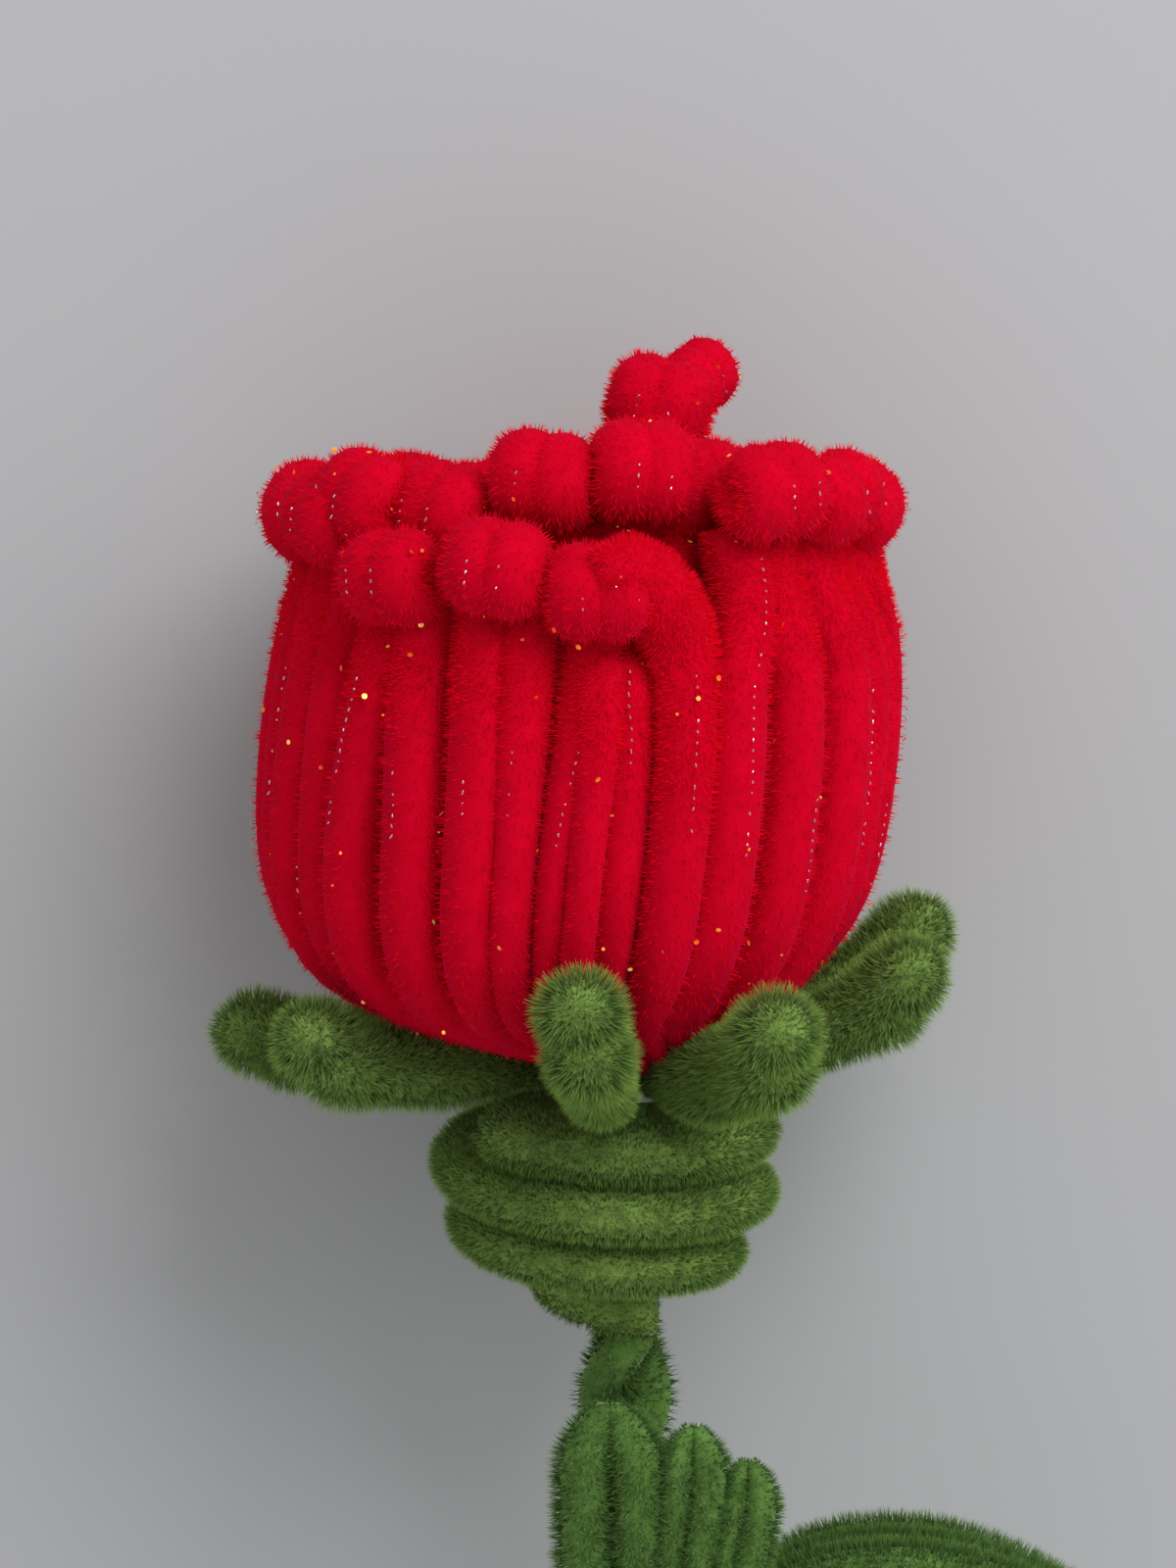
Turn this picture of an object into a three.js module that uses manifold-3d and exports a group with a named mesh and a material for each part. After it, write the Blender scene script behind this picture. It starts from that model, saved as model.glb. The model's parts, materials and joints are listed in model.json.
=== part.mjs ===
// A rose made of chenille stems, lying on its back. A chenille stem is a twisted wire that carries a
// round pile. Red stems are folded to and fro into fluted petals with their folds rolled outwards, and
// green stems make the sepals, the wound calyx, the twisted stem and the leaves.
// Lengths are in millimetres and angles in degrees. The rose is built upright, with +Z along the
// flower's axis, its front towards -Y and +X to the right, and is then laid down.
import * as THREE from "three";
import { mergeVertices } from "three/addons/utils/BufferGeometryUtils.js";
import Module from "manifold-3d";

const wasm = await Module();
wasm.setup();

// Clearance between two pieces that touch
const pieceGap = 0.3;

// Chenille stems: the radius of the pile
const redPile = 3.0;
const greenPile = 3.7;

// Cup: the outer face of the outer petals, from its base ring over the belly to the rim
const cupBaseRadius = 5;
const cupBaseHeight = -1;
const bellyRadius = 24.6;
const bellyHeight = 24;
const rimRadius = 22.7;
const rimHeight = 40;
const bowlRise = 6;
const bowlSpread = 17.6;
const bellyDrop = 14;
const shoulderRise = 8;
// Sideways place of the cup's middle at its base, in its bowl and at its rim
const baseOffset = 1.5;
const bowlOffset = -3.4;
const rimOffset = -1.7;
const bowlOffsetHeight = 6;
// The pile is pressed thin where the stems meet at the base
const basePress = 0.45;
const pressLength = 16;

// Rolled folds at the petals' tops
const foldRadius = 4.3;
const foldHalfWidth = 4.1;
const foldOut = 2.3;
const foldUp = 3.8;
const smallFoldRadius = 3.5;

// Outer petals: the angles of both edges at the belly and at the rim, counted from the front to the
// right, how far the rim stands above the cup's rim, and each rolled fold's angle and extra height
const outerPetals = [
  {
    name: "outer_petal_front",
    belly: [-54, 26],
    rim: [-54, 13],
    lift: 0,
    folds: [[-41, -1.6], [-18, 0.1], [1.5, -1.4]],
  },
  {
    name: "outer_petal_right",
    belly: [26, 116],
    rim: [29, 112],
    lift: 4,
    folds: [[40, 1], [60, 0.5], [81, -0.3], [102, -4.1]],
  },
  {
    name: "outer_petal_back",
    belly: [116, 216],
    rim: [119, 213],
    lift: -3.5,
    folds: [[130, 0], [153, -0.3], [177, -1], [201, -1.5]],
  },
  {
    name: "outer_petal_left",
    belly: [216, 306],
    rim: [219, 306],
    lift: 3,
    folds: [[230, -5.8], [251, -4.6], [273, -2], [295, -0.5]],
  },
];
const outerLegs = 8;
// The left petal's last two folds are tucked in behind the front petal: angle, radius and height
const tuckedFolds = [[304, 20, 47.2], [321, 17, 46.3]];

// Inner petals, one stem's thickness further in
const innerPetals = [
  {
    name: "inner_petal_front",
    span: [-24, 46],
    legs: 6,
    lift: 8,
    folds: [[-13, 15.6, 49.4, foldRadius], [14, 15.6, 49.6, foldRadius], [39, 12.6, 46.6, foldRadius]],
  },
  {
    name: "inner_petal_right",
    span: [46, 190],
    legs: 8,
    lift: -3,
    folds: [
      [64, 12.3, 39.5, smallFoldRadius],
      [100, 12.3, 38.5, smallFoldRadius],
      [136, 12.3, 39.5, smallFoldRadius],
      [172, 12.3, 39, smallFoldRadius],
    ],
  },
  {
    name: "inner_petal_left",
    span: [190, 336],
    legs: 8,
    lift: -2,
    folds: [
      [208, 12.3, 39, smallFoldRadius],
      [245, 12.3, 40.5, smallFoldRadius],
      [281, 12.3, 40, smallFoldRadius],
      [318, 12.3, 39.5, smallFoldRadius],
    ],
  },
];

// Bud: a folded stem that stands in the middle, with its fold rolled down twice
const budTop = [4.3, -1, 52];
const budBack = [6.3, 3.5, 52.2];
const budTopRadius = 3.6;
const budBackRadius = 3.3;
const budLegSpread = 2.2;
const budTailRadius = 1.6;
const budTailHeight = 1.5;
const budFullHeight = 16;

// Glue that holds the cup on the stem
const glueRadius = 3.6;
const glueTop = 1.2;
const glueBottom = -3.3;

// Sepals: hairpins of green stem round the base of the cup, each with its angle, the radius and
// height of its tip and the direction in which the tip points, from level at 0 to upright at 90
const sepals = [
  { name: "sepal_front", angle: -6, reach: 26.5, height: 12.5, curl: 80 },
  { name: "sepal_front_right", angle: 28, reach: 26.4, height: 10.5, curl: 75 },
  { name: "sepal_right", angle: 70, reach: 25, height: 11, curl: 80 },
  { name: "sepal_right_far", angle: 108, reach: 24.8, height: 10.5, curl: 85 },
  { name: "sepal_back_right", angle: 146, reach: 27, height: 2.5, curl: 35 },
  { name: "sepal_back_left", angle: 214, reach: 27, height: 2.5, curl: 35 },
  { name: "sepal_left_far", angle: 260, reach: 31, height: 0.2, curl: 15 },
  { name: "sepal_left_near", angle: 299, reach: 28.5, height: 6, curl: 45 },
];
const sepalLegSpread = 1.3;
const sepalRootRadius = 5.4;
const sepalRootThickness = 1.0;
const sepalFullRadius = 15;

// Calyx: one green stem wound round the base from the front to the right and downwards
const wrapOuterRadius = 14;
const wrapWaistRadius = 11.6;
const wrapHalfHeight = 2.3;
const wrapPitch = 4.8;
const wrapFrontHeight = -5;
const wrapStartTurn = -0.13;
const wrapWaistTurn = 2.2;
const wrapEndTurn = 3.1;
const wrapEndThickness = 1.1;
const wrapOffset = -0.6;

// Stem: two green stems twisted together
const stemOffset = 1;
const strandRadius = 1.95;
const twistPitch = 18;
const stemFootHeight = -113;
const strandNeckRadius = 1.05;
const strandNeckLength = 3;

// Front leaf: three hairpins fanned out from a ring round the stem
const leafFrontRing = -68;
const leafFingers = [
  { top: [-0.2, -10.8, -25], halfWidth: 5.2 },
  { top: [6.2, -10.2, -27], halfWidth: 3.9 },
  { top: [10.4, -9.4, -30], halfWidth: 3.5 },
];
const leafThickness = 3.2;
// Right leaf: three hairpins side by side that rise from a ring and arch over to the right
const leafRightRing = -52;
const leafRightRise = [10, -40];
const leafRightBend = [28, -35.4];
const leafRightTip = [47, -54];
const leafRightDepths = [-1.2, 2.6, 6.4];
const ringHalfHeight = 1.9;
const ringThickness = 1.8;

// Section and step counts
const stemSides = 8;
const strandSides = 6;
const foldSides = 7;
const wrapStops = 38;

const red = new THREE.MeshStandardMaterial({ color: 0xc80014, roughness: 0.95, metalness: 0 });
const green = new THREE.MeshStandardMaterial({ color: 0x3f7a26, roughness: 0.95, metalness: 0 });
const glue = new THREE.MeshStandardMaterial({ color: 0xd8d6e0, roughness: 0.35, metalness: 0 });

const { degToRad, lerp, smoothstep } = THREE.MathUtils;

// A closed geometry as a solid that can be joined and cut.
function toSolid(geometry) {
  const plain = geometry.clone();
  plain.deleteAttribute("normal");
  plain.deleteAttribute("uv");
  const merged = mergeVertices(plain, 1e-4);
  return new wasm.Manifold(
    new wasm.Mesh({
      numProp: 3,
      vertProperties: merged.attributes.position.array,
      triVerts: new Uint32Array(merged.index.array),
    }),
  );
}

// A solid back as a geometry.
function toGeometry(solid) {
  const mesh = solid.getMesh();
  const geometry = new THREE.BufferGeometry();
  geometry.setAttribute("position", new THREE.BufferAttribute(mesh.vertProperties, 3));
  geometry.setIndex(new THREE.BufferAttribute(mesh.triVerts, 1));
  geometry.computeVertexNormals();
  return geometry;
}

// The largest body of a solid, without the crumbs that a cut leaves.
function mainBody(solid) {
  return solid.decompose().reduce((best, body) => (body.volume() > best.volume() ? body : best));
}

// The triangles that fill an outline.
function fillOutline(outline) {
  return THREE.ShapeUtils.triangulateShape(outline, []).map(([i, j, k]) => {
    const turn = THREE.ShapeUtils.area([outline[i], outline[j], outline[k]]);
    return turn > 0 ? [i, j, k] : [i, k, j];
  });
}

// The triangles that fill a strip between marks on its outside and marks on its inside. The points
// run forwards along the outside and then back along the inside.
function fillStrip(outside, inside) {
  const back = outside.length + inside.length - 1;
  const faces = [];
  let [i, j] = [0, 0];
  while (i < outside.length - 1 || j < inside.length - 1) {
    const outsideNext = i < outside.length - 1 ? outside[i + 1] : Infinity;
    const insideNext = j < inside.length - 1 ? inside[j + 1] : Infinity;
    if (outsideNext <= insideNext) {
      faces.push([i, i + 1, back - j]);
      i += 1;
    } else {
      faces.push([i, back - j - 1, back - j]);
      j += 1;
    }
  }
  return faces;
}

// A closed skin over rings of points that go round anticlockwise, with the given triangles as ends.
function loft(rings, ends) {
  const count = rings[0].length;
  const points = rings.flat();
  const faces = [];
  for (let ring = 0; ring < rings.length - 1; ring += 1) {
    for (let i = 0; i < count; i += 1) {
      const a = ring * count + i;
      const b = ring * count + ((i + 1) % count);
      const [c, d] = [b + count, a + count];
      if (points[a].distanceTo(points[c]) < points[b].distanceTo(points[d])) {
        faces.push(a, b, c, a, c, d);
      } else {
        faces.push(a, b, d, b, c, d);
      }
    }
  }
  const last = (rings.length - 1) * count;
  for (const [a, b, c] of ends) {
    faces.push(c, b, a, last + a, last + b, last + c);
  }
  const geometry = new THREE.BufferGeometry().setFromPoints(points);
  geometry.setIndex(faces);
  return geometry;
}

// Outline of a round or oval stem.
function ovalOutline(halfWidth, halfHeight, sides) {
  return Array.from({ length: sides }, (_, i) => {
    const turn = ((i + 0.5) / sides) * 2 * Math.PI;
    return new THREE.Vector2(halfWidth * Math.cos(turn), halfHeight * Math.sin(turn));
  });
}

// Outline of the two legs of a hairpin side by side, with a groove between them.
function hairpinOutline(spread, halfWidth, halfHeight) {
  const groove = 0.82 * halfHeight;
  const lobe = [-65, -22, 22, 65].map((angle) => {
    const turn = degToRad(angle);
    return [spread + halfWidth * Math.cos(turn), halfHeight * Math.sin(turn)];
  });
  const right = lobe.map(([x, y]) => new THREE.Vector2(x, y));
  const left = lobe.map(([x, y]) => new THREE.Vector2(-x, -y));
  return [...right, new THREE.Vector2(0, groove), ...left, new THREE.Vector2(0, -groove)];
}

// A skin swept along a path. station(t) gives the place, the two directions across the path and the
// outline there, for t from 0 to 1.
function sweep(stops, station) {
  const rings = stops.map((t) => {
    const { place, across, up, outline } = station(t);
    return outline.map((p) => place.clone().addScaledVector(across, p.x).addScaledVector(up, p.y));
  });
  return loft(rings, fillOutline(station(stops[0]).outline));
}

// Stops from 0 to 1, with two more close to the end so that a tip comes out round.
function roundedStops(steps, tipShare) {
  const body = Array.from({ length: steps + 1 }, (_, i) => (i / steps) * (1 - tipShare));
  return [...body, 1 - 0.4 * tipShare, 1];
}

// How wide a round tip still is at t.
function tipScale(t, tipShare) {
  const into = Math.max(0, (t - 1 + tipShare) / tipShare);
  return Math.sqrt(Math.max(0.12, 1 - into * into));
}

// The direction that points outwards at an angle counted from the front to the right.
function outward(angle) {
  return new THREE.Vector3(Math.sin(degToRad(angle)), -Math.cos(degToRad(angle)), 0);
}

function aroundCup(angle) {
  return new THREE.Vector3(Math.cos(degToRad(angle)), Math.sin(degToRad(angle)), 0);
}

// Sideways place of the cup's middle at a height.
function cupOffset(height) {
  const low = lerp(baseOffset, bowlOffset, smoothstep(height, cupBaseHeight, bowlOffsetHeight));
  return lerp(low, rimOffset, smoothstep(height, bowlOffsetHeight, rimHeight));
}

function onCup(angle, radius, height, offset = cupOffset(height)) {
  return outward(angle).multiplyScalar(radius).add(new THREE.Vector3(offset, 0, height));
}

// The cup's outer face, as radius and height along its length.
const cupCurve = new THREE.CurvePath();
cupCurve.add(
  new THREE.CubicBezierCurve(
    new THREE.Vector2(cupBaseRadius, cupBaseHeight),
    new THREE.Vector2(cupBaseRadius + bowlSpread, cupBaseHeight + bowlRise),
    new THREE.Vector2(bellyRadius, bellyHeight - bellyDrop),
    new THREE.Vector2(bellyRadius, bellyHeight),
  ),
);
cupCurve.add(
  new THREE.CubicBezierCurve(
    new THREE.Vector2(bellyRadius, bellyHeight),
    new THREE.Vector2(bellyRadius, bellyHeight + shoulderRise),
    new THREE.Vector2(lerp(bellyRadius, rimRadius, 0.5), rimHeight - shoulderRise / 2),
    new THREE.Vector2(rimRadius, rimHeight),
  ),
);
const cupLength = cupCurve.getLength();

// The point of the cup's face at a length from its base, and the direction out of the face.
function cupFace(length) {
  const share = Math.min(length / cupLength, 1);
  const along = cupCurve.getTangent(share);
  const point = cupCurve.getPoint(share).addScaledVector(along, Math.max(0, length - cupLength));
  return { point, out: new THREE.Vector2(along.y, -along.x) };
}

// The pile's radius at a length from the cup's base.
function pileAt(length) {
  return redPile * lerp(basePress, 1, smoothstep(length, 0, pressLength));
}

// A place in the cup's wall, so deep behind its outer face.
function inWall(length, depth) {
  const { point, out } = cupFace(length);
  return point.addScaledVector(out, -depth);
}

// The fluted wall of a petal: stems side by side, each one a crest between two grooves. layer is 0
// for the outer petals and 1 for the inner ones, one stem further in.
function petalWall(spanAt, legs, layer, lift, shares) {
  const outerStops = layer === 0 ? [0.27, 0.73, 1] : [1];
  const outside = [0];
  const inside = [0];
  for (let leg = 0; leg < legs; leg += 1) {
    outside.push(...outerStops.map((stop) => leg + stop));
    inside.push(leg + 0.5, leg + 1);
  }
  const marks = [...outside.map((at) => [at, 1]), ...inside.map((at) => [at, -1]).reverse()];
  const lengths = [...shares.map((share) => share * cupLength), cupLength + lift];
  const rings = lengths.map((length) => {
    const pile = pileAt(length);
    const depth = pile * (1 + 2 * layer) + pieceGap * layer;
    const middle = inWall(length, depth);
    const { point, out } = cupFace(length);
    const offset = cupOffset(point.y);
    const [from, to] = spanAt(length / cupLength);
    const legArc = (degToRad(to - from) * middle.x) / legs;
    const inset = THREE.MathUtils.radToDeg(pieceGap / 2 / (middle.x - pile * out.x));
    return marks.map(([at, side]) => {
      const fromCrest = Math.min(Math.abs(at - Math.floor(at) - 0.5) * legArc, 0.85 * pile);
      const bulge = side * Math.sqrt(pile * pile - fromCrest * fromCrest);
      const spot = middle.clone().addScaledVector(out, bulge);
      return onCup(lerp(from + inset, to - inset, at / legs), spot.x, spot.y, offset);
    });
  });
  return toSolid(loft(rings, fillStrip(outside, inside)));
}

// A rolled fold: two legs of stem rolled up side by side, as a barrel that lies round the cup.
function rolledFold(angle, radius, height, size, halfWidth) {
  const profile = [
    [0, -1],
    [0.72, -0.88],
    [1, -0.5],
    [0.9, 0],
    [1, 0.5],
    [0.72, 0.88],
    [0, 1],
  ].map(([r, along]) => new THREE.Vector2(r * size, along * halfWidth));
  const barrel = new THREE.LatheGeometry(profile, foldSides);
  const turned = new THREE.Matrix4().makeBasis(outward(angle), aroundCup(angle), new THREE.Vector3(0, 0, 1));
  barrel.applyMatrix4(turned);
  barrel.translate(...onCup(angle, radius, height).toArray());
  return toSolid(barrel);
}

// Keeps the part of a solid that lies between two upright planes through the cup's axis.
function betweenAngles(solid, from, to) {
  const keep = (angle, sign) => {
    const normal = aroundCup(angle).multiplyScalar(sign);
    return [normal.toArray(), normal.x * cupOffset(rimHeight) + pieceGap / 2];
  };
  return solid.trimByPlane(...keep(from, 1)).trimByPlane(...keep(to, -1));
}

// Shares of the cup's length at which the walls have a ring, below the one at each petal's own rim
const outerShares = [0, 0.13, 0.27, 0.42, 0.62, 0.84];
const innerShares = [0, 0.13, 0.27, 0.42, 0.7];

function outerFolds(petal, grow) {
  const rim = inWall(cupLength + petal.lift, redPile);
  return petal.folds.map(([angle, extra]) =>
    rolledFold(angle, rim.x + foldOut, rim.y + foldUp + extra, foldRadius + grow, foldHalfWidth + grow),
  );
}

function outerPetal(petal) {
  const spanAt = (share) => {
    const drawn = smoothstep(share, 0.6, 1);
    return [lerp(petal.belly[0], petal.rim[0], drawn), lerp(petal.belly[1], petal.rim[1], drawn)];
  };
  const wall = petalWall(spanAt, outerLegs, 0, petal.lift, outerShares);
  const folds = outerFolds(petal, 0).map((fold) => betweenAngles(fold, ...petal.rim));
  return [wall, ...folds].reduce((whole, piece) => whole.add(piece));
}

function innerPetal(petal) {
  const wall = petalWall(() => petal.span, petal.legs, 1, petal.lift, innerShares);
  const folds = petal.folds.map(([angle, radius, height, size]) => {
    const fold = rolledFold(angle, radius, height, size, Math.min(foldHalfWidth, size));
    return betweenAngles(fold, ...petal.span);
  });
  return [wall, ...folds].reduce((whole, piece) => whole.add(piece));
}

// The folds of the left petal that lie behind the front petal, cut back from its folds.
function tucked(grow) {
  const front = outerFolds(outerPetals[0], pieceGap);
  const folds = tuckedFolds.map(([angle, radius, height]) =>
    rolledFold(angle, radius, height, foldRadius + grow, foldHalfWidth + grow),
  );
  const joined = folds[0].add(folds[1]);
  return front.reduce((rest, fold) => rest.subtract(fold), joined);
}

function centreBud() {
  const path = new THREE.CatmullRomCurve3([
    new THREE.Vector3(baseOffset, 0, budTailHeight),
    new THREE.Vector3(baseOffset * 0.4, 0, budFullHeight),
    new THREE.Vector3(budTop[0] * 0.3, 0, lerp(budFullHeight, budTop[2], 0.55)),
    new THREE.Vector3(budTop[0], 0, budTop[2]),
  ]);
  const legs = sweep([0, 0.14, 0.3, 0.5, 0.75, 1], (t) => {
    const full = smoothstep(path.getPoint(t).z, budTailHeight, budFullHeight);
    const radius = lerp(budTailRadius, redPile, full);
    return {
      place: path.getPoint(t),
      across: new THREE.Vector3(0, 1, 0),
      up: new THREE.Vector3(-1, 0, 0),
      outline: hairpinOutline(budLegSpread * full, radius, radius),
    };
  });
  const fold = (middle, angle, radius) => {
    const [x, y, z] = middle;
    const ball = rolledFold(angle, 0, 0, radius, radius);
    return ball.translate([x - cupOffset(0), y, z]);
  };
  return toSolid(legs)
    .add(fold(budTop, -10, budTopRadius))
    .add(fold(budBack, 60, budBackRadius));
}

// The cup's outer face as a closed body, grown by the clearance, for cutting what leans on it.
function cupBody() {
  const sides = 24;
  const outline = ovalOutline(1, 1, sides);
  const rings = [...outerShares, 1].map((share) => {
    const { point } = cupFace(share * cupLength);
    const { x, y } = inWall(share * cupLength, -pieceGap);
    const radius = x / Math.cos(Math.PI / sides);
    return outline.map((p) => new THREE.Vector3(cupOffset(point.y) + radius * p.x, radius * p.y, y));
  });
  return toSolid(loft(rings, fillOutline(outline)));
}

const sepalAngles = sepals.map((sepal) => sepal.angle);
const sepalSteps = sepalAngles.map((angle, i) => {
  const next = sepalAngles[(i + 1) % sepalAngles.length];
  return (next - angle + 360) % 360;
});
const narrowestSepalStep = Math.min(...sepalSteps);
const wrapTop = wrapFrontHeight + wrapHalfHeight;

// A sepal: its path starts on the calyx under the cup, runs outwards and curls up at its tip.
function sepal({ angle, reach, height, curl }) {
  const rootHeight = wrapTop + pieceGap + sepalRootThickness;
  const fullHeight = wrapTop + pieceGap + greenPile;
  const tip = new THREE.Vector2(reach, height);
  const back = new THREE.Vector2(Math.cos(degToRad(curl)), Math.sin(degToRad(curl)));
  const path = new THREE.CubicBezierCurve(
    new THREE.Vector2(sepalRootRadius, rootHeight),
    new THREE.Vector2(sepalFullRadius, fullHeight),
    tip.clone().addScaledVector(back, -greenPile * 2),
    tip,
  );
  const side = aroundCup(angle);
  const tipShare = 0.2;
  const skin = sweep(roundedStops(5, tipShare), (t) => {
    const at = path.getPoint(t);
    const along = path.getTangent(t);
    const up = outward(angle).multiplyScalar(-along.y).add(new THREE.Vector3(0, 0, along.x));
    const share = smoothstep(at.x, sepalRootRadius, sepalFullRadius);
    const room = at.x * Math.sin(degToRad(narrowestSepalStep / 2)) - pieceGap / 2;
    const width = Math.min(greenPile + sepalLegSpread, room) * tipScale(t, tipShare);
    const thickness = lerp(sepalRootThickness, greenPile, share) * tipScale(t, tipShare);
    const spread = width * (sepalLegSpread / (greenPile + sepalLegSpread));
    return {
      place: outward(angle).multiplyScalar(at.x).setZ(at.y),
      across: side,
      up,
      outline: hairpinOutline(spread, width - spread, thickness),
    };
  });
  return mainBody(toSolid(skin).subtract(cupBody()));
}

// The calyx: a stem wound downwards that ends in a tight turn round the stem.
function calyx() {
  const turns = wrapEndTurn - wrapStartTurn;
  const stops = Array.from({ length: wrapStops + 1 }, (_, i) => i / wrapStops);
  const neckInside = strandNeckRadius * 2 + pieceGap * 1.5;
  return sweep(stops, (t) => {
    const turn = wrapStartTurn + t * turns;
    const angle = turn * 360;
    const toWaist = smoothstep(turn, wrapWaistTurn - 0.9, wrapWaistTurn);
    const toNeck = smoothstep(turn, wrapWaistTurn, wrapEndTurn);
    const thickness = lerp(greenPile, wrapEndThickness, toNeck);
    const outer = lerp(
      lerp(wrapOuterRadius, wrapWaistRadius, toWaist),
      neckInside + 2 * wrapEndThickness,
      toNeck,
    );
    const middle = lerp(wrapOffset, stemOffset, toNeck);
    const height = wrapFrontHeight - turn * wrapPitch;
    return {
      place: outward(angle).multiplyScalar(outer - thickness).add(new THREE.Vector3(middle, 0, height)),
      across: outward(angle).negate(),
      up: new THREE.Vector3(0, 0, 1),
      outline: ovalOutline(thickness, wrapHalfHeight, stemSides),
    };
  });
}

// One of the two strands of the stem, cut level at both ends.
function strand(startAngle) {
  const top = glueBottom - pieceGap;
  const neckTop = wrapFrontHeight - wrapEndTurn * wrapPitch - wrapHalfHeight - pieceGap;
  const steps = Math.ceil((top - stemFootHeight) / (twistPitch / 6));
  const stops = Array.from({ length: steps + 1 }, (_, i) => i / steps);
  return sweep(stops, (t) => {
    const height = lerp(stemFootHeight, top, t);
    const neck = smoothstep(height, neckTop - strandNeckLength, neckTop);
    const radius = lerp(strandRadius, strandNeckRadius, neck);
    const angle = startAngle + ((height - stemFootHeight) / twistPitch) * 360;
    return {
      place: outward(angle)
        .multiplyScalar(radius + pieceGap / 2)
        .add(new THREE.Vector3(stemOffset, 0, height)),
      across: outward(angle),
      up: aroundCup(angle),
      outline: ovalOutline(radius, radius, strandSides),
    };
  });
}

// The turn of a leaf's wire end round the stem, as a ring with clearance to the strands.
function leafRing(height) {
  const inner = 2 * strandRadius + pieceGap * 1.5;
  const outer = inner + ringThickness;
  const ring = [
    [inner, -0.6],
    [(inner + outer) / 2, -1],
    [outer, -0.5],
    [outer, 0.5],
    [(inner + outer) / 2, 1],
    [inner, 0.6],
    [inner, -0.6],
  ].map(([r, share]) => new THREE.Vector2(r, share * ringHalfHeight));
  const lathe = new THREE.LatheGeometry(ring, 12);
  lathe.rotateX(Math.PI / 2);
  lathe.translate(stemOffset, 0, height);
  return toSolid(lathe);
}

// The least distance from the stem's axis at which a leaf's stems run past it.
const leafClearance = 2 * strandRadius + pieceGap * 1.5;

function frontLeaf() {
  const tipShare = 0.12;
  const fingers = leafFingers.map(({ top, halfWidth }) => {
    const [x, y, z] = top;
    const rootY = -(leafClearance + ringThickness / 2);
    const path = new THREE.CubicBezierCurve3(
      new THREE.Vector3(stemOffset, rootY, leafFrontRing),
      new THREE.Vector3(stemOffset, y, lerp(leafFrontRing, z, 0.35)),
      new THREE.Vector3(x, y, lerp(leafFrontRing, z, 0.65)),
      new THREE.Vector3(x, y, z),
    );
    return toSolid(
      sweep(roundedStops(5, tipShare), (t) => {
        const full = smoothstep(t, 0, 0.5);
        const scale = tipScale(t, tipShare);
        const thickness = lerp(ringThickness / 2, leafThickness, full) * scale;
        const width = lerp(ringThickness / 2, halfWidth, full) * scale;
        const spread = Math.max(0, width - leafThickness);
        return {
          place: path.getPoint(t),
          across: new THREE.Vector3(1, 0, 0),
          up: new THREE.Vector3(0, 1, 0),
          outline: hairpinOutline(spread, width - spread, thickness),
        };
      }),
    );
  });
  return [leafRing(leafFrontRing), ...fingers].reduce((whole, piece) => whole.add(piece));
}

function rightLeaf() {
  const tipShare = 0.1;
  const fingers = leafRightDepths.map((depth) => {
    const shorten = Math.abs(depth) * 0.5;
    const path = new THREE.CubicBezierCurve3(
      new THREE.Vector3(stemOffset + leafClearance + ringThickness / 2, 0, leafRightRing),
      new THREE.Vector3(leafRightRise[0], depth, leafRightRise[1]),
      new THREE.Vector3(leafRightBend[0], depth, leafRightBend[1]),
      new THREE.Vector3(leafRightTip[0] - shorten, depth * 0.6, leafRightTip[1]),
    );
    return toSolid(
      sweep(roundedStops(7, tipShare), (t) => {
        const along = path.getTangent(t);
        const across = new THREE.Vector3(0, 1, 0);
        const up = new THREE.Vector3().crossVectors(along, across).normalize();
        const full = smoothstep(t, 0, 0.35);
        const scale = tipScale(t, tipShare);
        const thickness = lerp(ringThickness / 2, leafThickness, full) * scale;
        return {
          place: path.getPoint(t),
          across,
          up,
          outline: ovalOutline(thickness, thickness, strandSides),
        };
      }),
    );
  });
  return [leafRing(leafRightRing), ...fingers].reduce((whole, piece) => whole.add(piece));
}

function glueJoint() {
  const profile = [
    new THREE.Vector2(0, glueBottom),
    new THREE.Vector2(glueRadius * 0.8, glueBottom),
    new THREE.Vector2(glueRadius, glueBottom + glueRadius / 3),
    new THREE.Vector2(glueRadius, glueTop - glueRadius / 6),
    new THREE.Vector2(glueRadius * 0.7, glueTop),
    new THREE.Vector2(0, glueTop),
  ];
  const blob = new THREE.LatheGeometry(profile, 12);
  blob.rotateX(Math.PI / 2);
  blob.translate(baseOffset, 0, 0);
  return blob;
}

const rose = new THREE.Group();

function addPiece(name, shape, material) {
  const geometry = shape.isBufferGeometry ? shape : toGeometry(shape);
  const mesh = new THREE.Mesh(geometry, material);
  mesh.name = name;
  rose.add(mesh);
}

for (const petal of outerPetals) {
  const whole = outerPetal(petal);
  const isLeft = petal.name === "outer_petal_left";
  addPiece(petal.name, mainBody(isLeft ? whole.add(tucked(0)) : whole), red.clone());
}
for (const petal of innerPetals) {
  const whole = innerPetal(petal).subtract(tucked(pieceGap));
  addPiece(petal.name, mainBody(whole), red.clone());
}
addPiece("centre_bud", centreBud(), red.clone());
addPiece("glue_joint", glueJoint(), glue);
for (const one of sepals) {
  addPiece(one.name, sepal(one), green.clone());
}
addPiece("calyx_wrap", calyx(), green.clone());
addPiece("stem_strand_a", strand(0), green.clone());
addPiece("stem_strand_b", strand(180), green.clone());
addPiece("leaf_front", frontLeaf(), green.clone());
addPiece("leaf_right", rightLeaf(), green.clone());

// The point of a piece that lies furthest back.
function furthestBack(name) {
  const position = rose.getObjectByName(name).geometry.getAttribute("position");
  const points = Array.from({ length: position.count }, (_, i) =>
    new THREE.Vector3().fromBufferAttribute(position, i),
  );
  return points.reduce((best, point) => (point.y > best.y ? point : best));
}

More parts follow.
